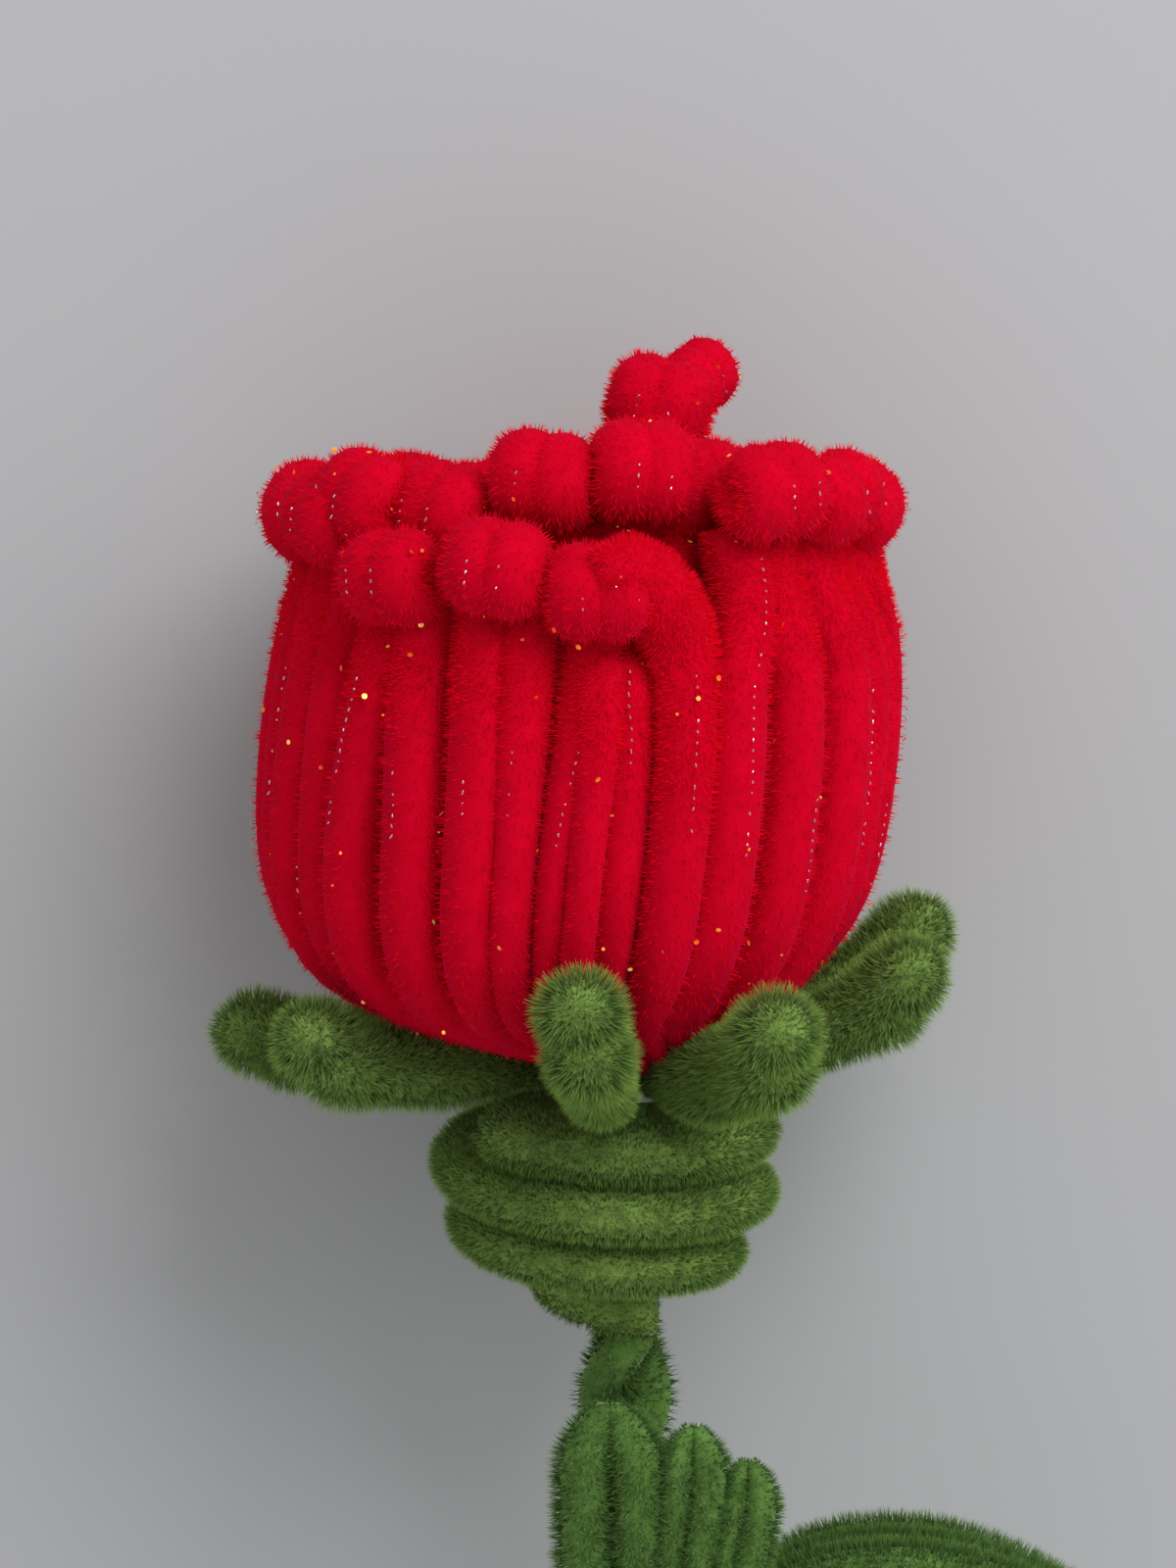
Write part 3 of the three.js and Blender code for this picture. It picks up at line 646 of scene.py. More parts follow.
def fibre_material(name, root, tip, look, through):
    """Fibres: darker towards the root as painted shade of the pile's depth, bright at the tip, each with its
    own tone. They let light through.
    """
    material, graph, shader = new_material(name)
    spot = graph.node("ShaderNodeUVMap", {"uv_map": BAKE_MAP})
    parts = graph.node("ShaderNodeSeparateXYZ", None, {0: spot})
    along = parts.output("X") / FIBRE_MAP
    tone = parts.output("Y") * 0.3 + 0.82
    # Painted shade: the fibre's colour darkens from its tip down to its root
    shade = graph.blend(along**2.0, opaque(root), opaque(tip))
    shade = graph.node("ShaderNodeVectorMath", {"operation": "SCALE"}, {0: shade, "Scale": tone})
    finish = {"Base Color": shade, "Roughness": 0.8, "Specular IOR Level": 0.05}
    graph.feed(shader, {**finish, **sheen(look)})
    back = graph.node("ShaderNodeBsdfTranslucent", None, {"Color": opaque(tip, through)})
    both = graph.node("ShaderNodeAddShader", None, {0: Wire(graph, shader.outputs[0]), 1: back})
    graph.feed(graph.tree.nodes["Material Output"], {"Surface": both})
    return material


def core_material(name, root, tip, look):
    """The core under the fibres, mottled at random between the root colour, a painted shade of the pile's
    depth, and the fibres' tip colour.
    """
    material, graph, shader = new_material(name)
    grain = graph.noise(6500.0, 2.0, Roughness=0.6)
    tuft = graph.noise(900.0, 2.0)
    patch = graph.noise(240.0, 1.0)
    share = grain * 0.7 + tuft * 0.8 + patch * 0.6 - 0.5
    # Painted shade where the mottling leans to the darker root colour; the random blotches themselves are
    # the pile's own tone
    shade = graph.blend(share, opaque(root), opaque(tip))
    values = {"Strength": 0.6, "Distance": 0.0001, "Height": grain}
    bump = graph.node("ShaderNodeBump", None, values)
    finish = {"Base Color": shade, "Normal": bump, "Roughness": 0.9, "Specular IOR Level": 0.03}
    graph.feed(shader, {**finish, **sheen(look)})
    return material


def plain_material(name, shade, roughness, metallic=0.0):
    """Wire and glue: a shade with a little unevenness."""
    material, graph, shader = new_material(name)
    grain = graph.noise(900.0, 2.0)
    mixed = graph.blend(grain, opaque(shade, 0.8), opaque(shade, 1.15))
    rough = grain * 0.2 + (roughness - 0.1)
    graph.feed(shader, {"Base Color": mixed, "Roughness": rough, "Metallic": metallic})
    return material


def foil_material():
    """Glitter: gold, orange and yellow foil that catches the light, and also glows a little with painted
    light.
    """
    material, graph, shader = new_material("glitter_foil")
    stops = [(0.35, (1.0, 0.1, 0.02)), (0.5, (1.0, 0.32, 0.03)), (0.65, (1.0, 0.62, 0.12))]
    shade = graph.node("ShaderNodeValToRGB", {"stops": stops}, {0: graph.noise(700.0, 0.0)})
    # Painted light: the flakes emit a little of their own colour
    painted_glow = {"Emission Color": shade, "Emission Strength": 0.25}
    graph.feed(shader, {"Base Color": shade, "Metallic": 0.9, "Roughness": 0.25, **painted_glow})
    return material


# ---------------------------------------------------------------- the cup's shape


def lerp(a, b, share):
    return a + (b - a) * share


def smooth(value, low, high):
    share = min(1.0, max(0.0, (value - low) / (high - low)))
    return share * share * (3 - 2 * share)


def outward(angle):
    turn = math.radians(angle)
    return Vector((math.sin(turn), -math.cos(turn), 0))


def around(angle):
    turn = math.radians(angle)
    return Vector((math.cos(turn), math.sin(turn), 0))


UP = Vector((0, 0, 1))


def bezier(points, share):
    rest = 1 - share
    weights = (rest**3, 3 * rest * rest * share, 3 * rest * share * share, share**3)
    return sum((point * weight for point, weight in zip(points, weights)), points[0] * 0)


def heading(points, share, step):
    """The direction of a curve at a share of its way."""
    ahead, behind = bezier(points, min(1, share + step)), bezier(points, max(0, share - step))
    return (ahead - behind).normalized()


def cup_offset(height):
    """Sideways place of the cup's middle at a height."""
    low = lerp(BASE_OFFSET, BOWL_OFFSET, smooth(height, CUP_BASE_HEIGHT, BOWL_OFFSET_HEIGHT))
    return lerp(low, RIM_OFFSET, smooth(height, BOWL_OFFSET_HEIGHT, RIM_HEIGHT))


def in_cup(angle, reach, height):
    """A point at an angle and a distance from the cup's middle at that height."""
    return outward(angle) * reach + Vector((cup_offset(height), 0, height))


def cup_samples():
    """The cup's outer face as points of radius and height, with the length up to each."""
    base = Vector((CUP_BASE_RADIUS, CUP_BASE_HEIGHT))
    belly = Vector((BELLY_RADIUS, BELLY_HEIGHT))
    rim = Vector((RIM_RADIUS, RIM_HEIGHT))
    shoulder = Vector((lerp(BELLY_RADIUS, RIM_RADIUS, 0.5), RIM_HEIGHT - SHOULDER_RISE / 2))
    bowl = [base, base + Vector((BOWL_SPREAD, BOWL_RISE)), belly - Vector((0, BELLY_DROP)), belly]
    side = [belly, belly + Vector((0, SHOULDER_RISE)), shoulder, rim]
    steps = 200
    points = [bezier(bowl, i / steps) for i in range(steps)]
    points += [bezier(side, i / steps) for i in range(steps + 1)]
    lengths = [0.0]
    for a, b in zip(points, points[1:]):
        lengths.append(lengths[-1] + (b - a).length)
    return points, lengths


CUP_POINTS, CUP_LENGTHS = cup_samples()
CUP_LENGTH = CUP_LENGTHS[-1]


def cup_face(length):
    """The point of the cup's face at a length from its base, and the direction out of it, both as
    radius and height. Past the rim the face runs straight on."""
    last = len(CUP_LENGTHS) - 2
    i = min(last, max(0, next((k for k, l in enumerate(CUP_LENGTHS) if l > length), last + 1) - 1))
    a, b = CUP_POINTS[i], CUP_POINTS[i + 1]
    along = (b - a).normalized()
    return a + along * (length - CUP_LENGTHS[i]), Vector((along.y, -along.x))


def pressed(length):
    """Share of its thickness that the pile keeps at a length from the cup's base."""
    return lerp(BASE_PRESS, 1, smooth(length, 0, PRESS_LENGTH))


# ---------------------------------------------------------------- stems


@dataclass
class Station:
    """One ring of a stem: its place, two directions across it, the pile's half sizes along them,
    how densely the fibres stand on its outer and inner sides, and the least length that they have."""

    place: Vector
    across: Vector
    out: Vector
    half_width: float
    half_depth: float
    cover: float = 1.0
    inner_cover: float = 1.0
    least_pile: float = 0.0


def laid_mesh(name, vertices, edges=(), faces=()):
    """A mesh from points in the flower's frame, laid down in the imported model's frame."""
    mesh = bpy.data.meshes.new(name)
    mesh.from_pydata([LAID_DOWN @ vertex for vertex in vertices], edges, faces, shade_flat=False)
    return mesh


def core_mesh(name, stems, core_share, sides=12):
    """The cores of stems as one mesh, with each point's fibre length and cover."""
    vertices, faces, spots, pile, cover = [], [], [], [], []
    for number, stem in enumerate(stems):
        start = len(vertices)
        travel = stem[1].place - stem[0].place
        turn_sign = 1 if travel.dot(stem[0].across.cross(stem[0].out)) > 0 else -1
        for station in stem:
            for side in range(sides):
                turn = turn_sign * 2 * math.pi * side / sides
                reach = station.across * (station.half_width * math.cos(turn))
                reach += station.out * (station.half_depth * math.sin(turn))
                vertices.append(station.place + reach * core_share)
                pile.append(max(reach.length * (1 - core_share), station.least_pile) * MILLIMETRE)
                facing = smooth(math.sin(turn) * turn_sign, -0.5, 0.3)
                cover.append(lerp(station.inner_cover, station.cover, facing))
        rows = len(stem) - 1
        for ring in range(rows):
            for side in range(sides):
                a = start + ring * sides + side
                b = start + ring * sides + (side + 1) % sides
                faces.append((a, b, b + sides, a + sides))
                low = (number + side / sides) / len(stems)
                high = (number + (side + 1) / sides) / len(stems)
                near = CORE_MAP + (1 - CORE_MAP) * ring / rows
                far = CORE_MAP + (1 - CORE_MAP) * (ring + 1) / rows
                spots += [(near, low), (near, high), (far, high), (far, low)]
        for ring, order in ((0, -1), (rows, 1)):
            faces.append([start + ring * sides + side for side in range(sides)][::order])
            middle = Vector((0.5 * (FIBRE_MAP + CORE_MAP), (number + 0.5) / len(stems)))
            for side in range(sides):
                turn = 2 * math.pi * side / sides
                spots.append(middle + 0.004 * Vector((math.cos(turn), math.sin(turn))))
    mesh = laid_mesh(name, vertices, faces=faces)
    layer = mesh.uv_layers.new(name=BAKE_MAP)
    for corner, spot in zip(layer.data, spots):
        corner.uv = spot
    for label, values in (("pile", pile), ("cover", cover)):
        mesh.attributes.new(label, "FLOAT", "POINT").data.foreach_set("value", values)
    return mesh


def path_stem(points, across_hint, half_width, half_depth, cover=1.0, inner_cover=1.0):
    """A stem along points. half_width and half_depth are functions of the share of the way."""
    stations = []
    for i, point in enumerate(points):
        before, after = points[max(i - 1, 0)], points[min(i + 1, len(points) - 1)]
        along = (after - before).normalized()
        across = (across_hint - along * across_hint.dot(along)).normalized()
        share = i / (len(points) - 1)
        size = half_width(share), half_depth(share)
        stations.append(Station(point, across, along.cross(across), *size, cover, inner_cover))
    return stations


def petal_leg(radius, layer, belly_angle, top_angle, pitch, sink, top_length, covers, draw=0.6):
    """One leg of a petal's folded stem, from the cup's base up to its fold."""
    steps = round(top_length / LEG_RING_SPACING)
    stations = []
    for i in range(steps + 1):
        length = top_length * i / steps
        point, out = cup_face(length)
        pile = radius * pressed(length)
        depth = pile * (1 + 2 * layer) + PIECE_GAP * layer + sink * smooth(length, *SINK_LENGTHS)
        middle = point - out * depth
        drawn = smooth(length / CUP_LENGTH, draw, 1.02)
        angle = lerp(belly_angle, top_angle, drawn)
        arc = math.radians(pitch) * middle.x
        place = outward(angle) * middle.x + Vector((cup_offset(point.y), 0, middle.y))
        face = outward(angle) * out.x + UP * out.y
        width = lerp(min(pile, LEG_WIDTH_SHARE * arc), pile * 1.05, drawn)
        stations.append(Station(place, around(angle), face, width, pile, *covers(length)))
    return stations


def rolled_fold(centre, angle, size, spread, lean=0.0):
    """Two legs of stem rolled up side by side round a centre, facing outwards at an angle."""
    half_depth = size * FOLD_HALF_DEPTH / FOLD_RADIUS
    half_width = size * FOLD_HALF_WIDTH / FOLD_RADIUS
    hub = size - half_depth
    axis = (around(angle) + UP * math.tan(math.radians(lean))).normalized()
    face = outward(angle)
    rise = face.cross(axis) * -1
    stems = []
    for side in (-1, 1):
        stem = []
        for i in range(FOLD_STEPS + 1):
            turn = math.radians(lerp(*FOLD_ROLL, i / FOLD_STEPS))
            out = face * math.cos(turn) + rise * math.sin(turn)
            place = centre + axis * (side * spread) + out * hub
            shrink = math.sqrt(max(FOLD_TIP, 1 - max(0.0, (i / FOLD_STEPS - 0.85) / FOLD_TIP) ** 2))
            stem.append(Station(place, axis, out, half_width * shrink, half_depth * shrink, 1.0, 0.3))
        stems.append(stem)
    return stems


# ---------------------------------------------------------------- finishing a piece

TREES = {}
MATERIALS = {}
RED_CORES = []
PILES = []


def prepare():
    """Makes the node trees and materials that all pieces share. A pile has the colours of its fibres' roots
    and tips, where the darker root colour is painted shade deep in the pile, its sheen, and the share of
    light that goes through it."""
    shades = bpy.context.scene.rose_colours
    TREES.update(pile=pile_tree(), twist=twist_tree(), flake=flake_tree())
    MATERIALS.update(
        wire=plain_material("wire", shades.wire, 0.3, metallic=0.9),
        glue=plain_material("hot_glue", shades.glue, 0.3),
        foil=foil_material(),
    )
    piles = {
        "red": (shades.red_root_shade, shades.red_tip, RED_SHEEN, 0.75),
        "green": (shades.green_root_shade, shades.green_tip, GREEN_SHEEN, 0.35),
        # Painted shade: the leaf pile is a darker copy of the green pile
        "leaf": (shades.green_root_shade, shades.shaded_leaf_tip, GREEN_SHEEN, 0.4),
    }
    for shade, (root, tip, look, through) in piles.items():
        MATERIALS[shade + "_fibres"] = fibre_material(shade + "_fibres", root, tip, look, through)
        MATERIALS[shade + "_core"] = core_material(shade + "_core", root, tip, look)


def place_piece(name, mesh, node=None):
    """Makes a finished mesh a piece of the scene."""
    piece = bpy.data.objects.new(name, mesh)
    bpy.context.scene.collection.objects.link(piece)
    if node:
        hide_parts(node)
    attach(piece, "root")
    return piece


def chenille_piece(node, stems, shade, core_share=None):
    """A node's stems with their pile, in place of the node."""
    pile = bpy.context.scene.rose_pile
    core_share = core_share or (pile.red_core if shade == "red" else pile.green_core)
    core = core_mesh(node + "_core", stems, core_share)
    PILES.append(node)
    dressed = with_tree(
        core,
        TREES["pile"],
        Density=pile.density / MILLIMETRE**2 * 1.0,
        Fibre_width=pile.fibre_width,
        Lean=pile.red_lean if shade == "red" else pile.green_lean,
        Seed=len(PILES) * 10,
        Fibres=MATERIALS[shade + "_fibres"],
        Core=MATERIALS[shade + "_core"],
    )
    if shade == "red":
        RED_CORES.append(core_mesh(node + "_foil", stems, FOIL_DEPTH))
    print(f"{node}: {len(dressed.polygons)} faces")
    return place_piece(node + "_pile", dressed, node)


def wire_piece(name, paths):
    """The wire that shows along the middle of stems, as short bright twists."""
    vertices, edges = [], []
    for path in paths:
        start = len(vertices)
        vertices += path
        edges += [(start + i, start + i + 1) for i in range(len(path) - 1)]
    mesh = laid_mesh(name, vertices, edges=edges)
    pitch = bpy.context.scene.rose_pile.wire_pitch
    bits = with_tree(
        mesh,
        TREES["twist"],
        Pitch=pitch,
        Length=pitch * TWIST_LENGTH,
        Width=pitch * TWIST_WIDTH,
        Seed=len(paths),
        Metal=MATERIALS["wire"],
    )
    return place_piece(name, bits)


def red_radius():
    return bpy.context.scene.rose_pile.red_radius * 1000


def green_radius():
    return bpy.context.scene.rose_pile.green_radius * 1000


# ---------------------------------------------------------------- the red pieces


def fold_place(petal, fold):
    """Centre of an outer petal's rolled fold."""
    angle, extra, size = fold
    point, out = cup_face(CUP_LENGTH + petal["lift"])
    rim = point - out * red_radius()
    return in_cup(angle, rim.x + FOLD_OUT, rim.y + FOLD_UP + extra)


def outer_legs(petal):
    """The legs of an outer petal, each with the fold that it runs into."""
    radius = red_radius()
    angles = petal["legs"]
    stems = []
    for i, (angle, sink, end) in enumerate(zip(angles, petal["sink"], petal["ends"])):
        neighbours = [abs(angle - other) for other in angles[max(0, i - 1) : i] + angles[i + 1 : i + 2]]
        pitch = min(WIDEST_LEG_PITCH, sum(neighbours) / len(neighbours) + 1.0)
        partners = [other for other, fold in zip(angles, petal["ends"]) if fold == end]
        side = 0 if len(partners) == 1 else -1 if angle == min(partners) else 1
        if end == INNER_U:
            top_length = CUP_LENGTH - (RIM_HEIGHT - INNER_U_HEIGHT)
            top_angle = INNER_U_ANGLE + side * INNER_U_SPREAD
        elif end == OVERARM:
            top_length = CUP_LENGTH - (RIM_HEIGHT - OVERARM_HEIGHT)
            top_angle = OVERARM_ANGLE
        else:
            top_length = CUP_LENGTH + petal["lift"] + FOLD_OVERLAP
            top_angle = petal["folds"][end][0] + side * math.degrees(LEG_SPREAD / RIM_RADIUS)

        def covers(length, top=top_length):
            return 1.0, 0.15 + 0.85 * smooth(length, top - OUTER_PILE_FROM, top - PILE_FULL_FROM)

        leg = petal_leg(radius, 0, angle, top_angle, pitch, sink, top_length, covers, petal["draw"])
        if end == INNER_U:
            round_tip(leg, 2)
        if end == OVERARM:
            leg += overarm(radius)
        stems.append(leg)
    return stems


def round_tip(stem, count):
    """Rounds off the last stations of a stem."""
    for i in range(count):
        scale = math.sqrt(1 - ((i + 0.9) / count) ** 2)
        stem[i - count].half_width *= scale
        stem[i - count].half_depth *= scale


def overarm(radius):
    """The top of the front petal's last leg, which hooks over to the left."""
    places = [in_cup(*stop) for stop in OVERARM_ROUTE]
    arm = []
    for i, (place, stop) in enumerate(zip(places, OVERARM_ROUTE)):
        along = (places[min(i + 1, len(places) - 1)] - places[max(i - 1, 0)]).normalized()
        across = outward(stop[0]).cross(along).normalized()
        arm.append(Station(place, across * -1, along.cross(across), radius * 1.15, radius))
    round_tip(arm, 2)
    return arm


def outer_petal_stems(name):
    petal = OUTER_PETALS[name]
    stems = outer_legs(petal)
    rng = random.Random(name)
    for fold in petal["folds"]:
        lean = rng.uniform(-9, 9)
        stems += rolled_fold(fold_place(petal, fold), fold[0], fold[2], FOLD_SPREAD, lean)
    if name == "outer_petal_left":
        for angle, radius, height in TUCKED_FOLDS:
            middle = in_cup(angle, radius, height)
            stems += rolled_fold(middle, angle, FOLD_RADIUS, FOLD_SPREAD, -6)
            for side in (-1, 1):
                top = middle - outward(angle) * FOLD_OUT + around(angle) * side * FOLD_SPREAD
                points = [top - UP * (TUCKED_LEG_LENGTH * (1 - i / 4)) for i in range(5)]
                size = (lambda share: FOLD_HALF_WIDTH), (lambda share: FOLD_HALF_DEPTH)
                stems.append(path_stem(points, around(angle), *size))
    return stems


def inner_petal_stems(name):
    petal = INNER_PETALS[name]
    radius = red_radius()
    first, last = petal["span"]
    pitch = (last - first) / petal["legs"]
    top_length = CUP_LENGTH + petal["lift"]
    stems = []
    for i in range(petal["legs"]):
        angle = first + pitch * (i + 0.5)
        sink = 0.25 * (i % 2)

        def covers(length):
            near_top = smooth(length, top_length - INNER_PILE_FROM, top_length - PILE_FULL_FROM)
            return 0.05 + 0.95 * near_top, 0.3 + 0.7 * near_top

        stems.append(petal_leg(radius, 1, angle, angle, pitch + 1.0, sink, top_length, covers))
    rng = random.Random(name)
    for angle, reach, height, size in petal["folds"]:
        spread = FOLD_SPREAD * size / FOLD_RADIUS
        stems += rolled_fold(in_cup(angle, reach, height), angle, size, spread, rng.uniform(-8, 8))
    return stems


def bud_stems():
    """The bud: two legs that stand in the cup and roll over at the top."""
    radius = red_radius()
    knots = [
        Vector((BASE_OFFSET, 0, BUD_TAIL_HEIGHT)),
        Vector((BASE_OFFSET * 0.4, 0, BUD_FULL_HEIGHT)),
        Vector((BUD_TOP[0] * 0.3, 0, lerp(BUD_FULL_HEIGHT, BUD_TOP[2], 0.55))),
        Vector(BUD_TOP),
    ]
    stems = []
    for side in (-1, 1):
        points = []
        for i in range(21):
            point = bezier(knots, i / 20)
            full = smooth(point.z, BUD_TAIL_HEIGHT, BUD_FULL_HEIGHT)
            points.append(point + Vector((0, side * BUD_SPREAD * full, 0)))

        def size(share):
            return lerp(BUD_TAIL_RADIUS, radius, smooth(share, 0, BUD_SWELL)) * 0.97

        stems.append(path_stem(points, Vector((0, 1, 0)), size, size, 0.6, 0.6))
    stems += rolled_fold(Vector(BUD_TOP), -10, BUD_TOP_RADIUS, FOLD_SPREAD, -12)
    stems += rolled_fold(Vector(BUD_BACK), 60, BUD_BACK_RADIUS, FOLD_SPREAD * 0.8, 10)
    return stems


# How deep the flakes and the wire lie, as shares of the pile's radius
FOIL_DEPTH = 0.97
LEG_WIRE_DEPTH = 0.93
FOLD_WIRE_DEPTH = 0.97
# The length and width of a bright bit of wire, as shares of a twist's length
TWIST_LENGTH = 0.46
TWIST_WIDTH = 0.18
WIRE_SEED = 7
FLAKE_SEED = 5
# Lowest starts and lengths of the wire that shows on the other legs
OTHER_WIRE_FROM = (12, 24)
OTHER_WIRE_LENGTH = (4, 14)
# Heights between which the wire shows on the front legs, from left to right, then on the first leg
# of the right petal
WIRE_SHOWS = [(20.5, 35.5), (21, 29), (24, 29), (23, 31.5), (21, 31), (22, 26), (27, 35), (22.5, 35)]
WIRE_SHOWS += [(19, 43)]


def leg_wire(stem, low, high, rng):
    """The line on a leg's face along which its wire shows, between two heights."""
    line = []
    radius = red_radius()
    for station in stem:
        if low <= station.place.z <= high:
            aside = station.across * rng.uniform(-0.12, 0.12)
            line.append(station.place + station.out * (radius * LEG_WIRE_DEPTH) + aside)
    return line


def fold_wire(stems, legs):
    """Lines across the outward faces of a petal's rolled folds, which come after its legs."""
    lines = []
    for stem in stems[legs:]:
        if len(stem) == FOLD_STEPS + 1:
            shown = stem[FOLD_STEPS // 2 + 1 : FOLD_STEPS // 2 + 3]
            lines.append([s.place + s.out * (s.half_depth * FOLD_WIRE_DEPTH) for s in shown])
    return lines


# ---------------------------------------------------------------- the green pieces


def tip_scale(share, tip_share):
    into = max(0.0, (share - 1 + tip_share) / tip_share)
    return math.sqrt(max(0.08, 1 - into * into))


def tip_stops(count, tip_share):
    """Shares along a stem that crowd together at its round tip."""
    body = [(1 - tip_share) * i / count for i in range(count + 1)]
    return body + [1 - tip_share * k for k in (0.7, 0.45, 0.25, 0.1, 0.0)]


def slope(degrees):
    """A direction that rises by an angle from the level, as radius and height."""
    return Vector((math.cos(math.radians(degrees)), math.sin(math.radians(degrees))))


def sepal_stems(name):
    """A sepal: two legs of a hairpin that start on the calyx and curl up at the tip."""
    angle, reach, height, curl = SEPALS[name]
    wrap_top = WRAP_FRONT_HEIGHT + WRAP_HALF_HEIGHT
    radius = green_radius()
    ball = Vector((reach, height)) - slope(curl) * radius
    tip = ball + slope(min(curl, SEPAL_END_CURL)) * radius
    knots = [
        Vector((SEPAL_ROOT_RADIUS, wrap_top + PIECE_GAP + SEPAL_ROOT_THICKNESS)),
        Vector((SEPAL_FULL_RADIUS, wrap_top + PIECE_GAP + radius)),
        tip - slope(min(curl, SEPAL_BEND_CURL)) * radius * 1.9,
        tip,
    ]
    angles = sorted(sepal[0] % 360 for sepal in SEPALS.values())
    steps = [(b - a) % 360 for a, b in zip(angles, angles[1:] + angles[:1])]
    room_angle = math.radians(min(steps) / 2)
    stems = []
    for aside, above, reach_share in SEPAL_LEGS:
        stem = []
        rise = above if above > 0 else above * math.cos(math.radians(angle)) ** 2
        for share in tip_stops(9, SEPAL_TIP_SHARE):
            along_share = share * reach_share
            at = bezier(knots, along_share)
            along = heading(knots, along_share, 0.02)
            up = outward(angle) * -along.y + UP * along.x
            full = smooth(at.x, SEPAL_ROOT_RADIUS, SEPAL_FULL_RADIUS)
            scale = tip_scale(share, SEPAL_TIP_SHARE)
            room = at.x * math.sin(room_angle) - PIECE_GAP / 2
            swell = smooth(share, 1 - 3 * SEPAL_TIP_SHARE, 1 - SEPAL_TIP_SHARE)
            ball_scale = lerp(0.9, SEPAL_BALL, swell)
            width = min(radius, room) * scale * ball_scale
            thickness = lerp(SEPAL_ROOT_THICKNESS, radius * 0.96, full) * scale * ball_scale
            place = outward(angle) * at.x + UP * at.y
            place += (around(angle) * aside + up * rise) * full
            fibres = SEPAL_END_PILE * smooth(share, 1 - 2 * SEPAL_TIP_SHARE, 1)
            stem.append(Station(place, around(angle), up, width, thickness, least_pile=fibres))
        stems.append(stem)
    return stems


def calyx_stem():
    turns = WRAP_END_TURN - WRAP_START_TURN
    neck_inside = STRAND_NECK_RADIUS * 2 + PIECE_GAP * 1.5
    stem = []
    for i in range(WRAP_STOPS + 1):
        turn = WRAP_START_TURN + turns * i / WRAP_STOPS
        angle = turn * 360
        to_waist = smooth(turn, WRAP_WAIST_TURN - WRAP_WAIST_SPAN, WRAP_WAIST_TURN)
        to_neck = smooth(turn, WRAP_WAIST_TURN, WRAP_END_TURN)
        thickness = lerp(green_radius(), WRAP_END_THICKNESS, to_neck)
        waist = lerp(WRAP_OUTER_RADIUS, WRAP_WAIST_RADIUS, to_waist)
        outer = lerp(waist, neck_inside + 2 * WRAP_END_THICKNESS, to_neck)
        middle = lerp(WRAP_OFFSET, STEM_OFFSET, to_neck)
        height = WRAP_FRONT_HEIGHT - turn * WRAP_PITCH
        place = outward(angle) * (outer - thickness) + Vector((middle, 0, height))
        half_height = WRAP_HALF_HEIGHT + WRAP_FLUFF
        stem.append(Station(place, UP.copy(), outward(angle), half_height, thickness, 1.0, 0.1))
    return [stem]


def strand_stem(start_angle):
    top = GLUE_BOTTOM - PIECE_GAP
    neck_top = WRAP_FRONT_HEIGHT - WRAP_END_TURN * WRAP_PITCH
    stem = []
    for i in range(STRAND_STEPS + 1):
        height = lerp(STEM_FOOT_HEIGHT, top, i / STRAND_STEPS)
        neck = smooth(height, neck_top - STRAND_NECK_LENGTH, neck_top)
        radius = lerp(STRAND_RADIUS, STRAND_NECK_RADIUS, neck)
        angle = start_angle + (height - STEM_FOOT_HEIGHT) / TWIST_PITCH * 360
        place = outward(angle) * (radius - STRAND_PRESS) + Vector((STEM_OFFSET, 0, height))
        cover = 1.0 - 0.6 * neck
        full = radius + STRAND_PRESS * 4
        stem.append(Station(place, around(angle), outward(angle), full * 1.1, full, cover, cover * 0.2))
    return [stem]


def leaf_ring(height):
    """A leaf's stem turned once round the flower's stem."""
    thickness = RING_THICKNESS / 2 + WRAP_FLUFF
    stem = []
    for i in range(RING_STOPS + 1):
        share = i / RING_STOPS
        out = outward(360 * i / RING_STOPS)
        place = out * RING_RADIUS + Vector((STEM_OFFSET, 0, height + 0.8 * (share - 0.5)))
        stem.append(Station(place, UP.copy(), out, RING_HALF_HEIGHT, thickness, 1.0, 0.0))
    return [stem]


def front_leaf_stems():
    root = Vector((STEM_OFFSET, -RING_RADIUS, LEAF_FRONT_RING))
    across, out = Vector((1, 0, 0)), Vector((0, -1, 0))
    stems = leaf_ring(LEAF_FRONT_RING)
    for top, half_width in LEAF_FINGERS:
        x, y, z = top
        knots = [
            root,
            Vector((STEM_OFFSET, y, lerp(LEAF_FRONT_RING, z, 0.35))),
            Vector((x, y, lerp(LEAF_FRONT_RING, z, 0.65))),
            Vector(top),
        ]
        for side in (-1, 1):
            stem = []
            for share in tip_stops(12, FRONT_TIP_SHARE):
                full = smooth(share, 0, 0.5)
                scale = tip_scale(share, FRONT_TIP_SHARE)
                thickness = lerp(RING_THICKNESS / 2, LEAF_THICKNESS, full) * scale
                width = lerp(RING_THICKNESS / 2, half_width, full) * scale
                spread = max(0.3 * width, width - LEAF_THICKNESS)
                place = bezier(knots, share) + across * (side * spread)
                stem.append(Station(place, across, out, width - spread, thickness, 1.0, 0.6))
            stems.append(stem)
    return stems


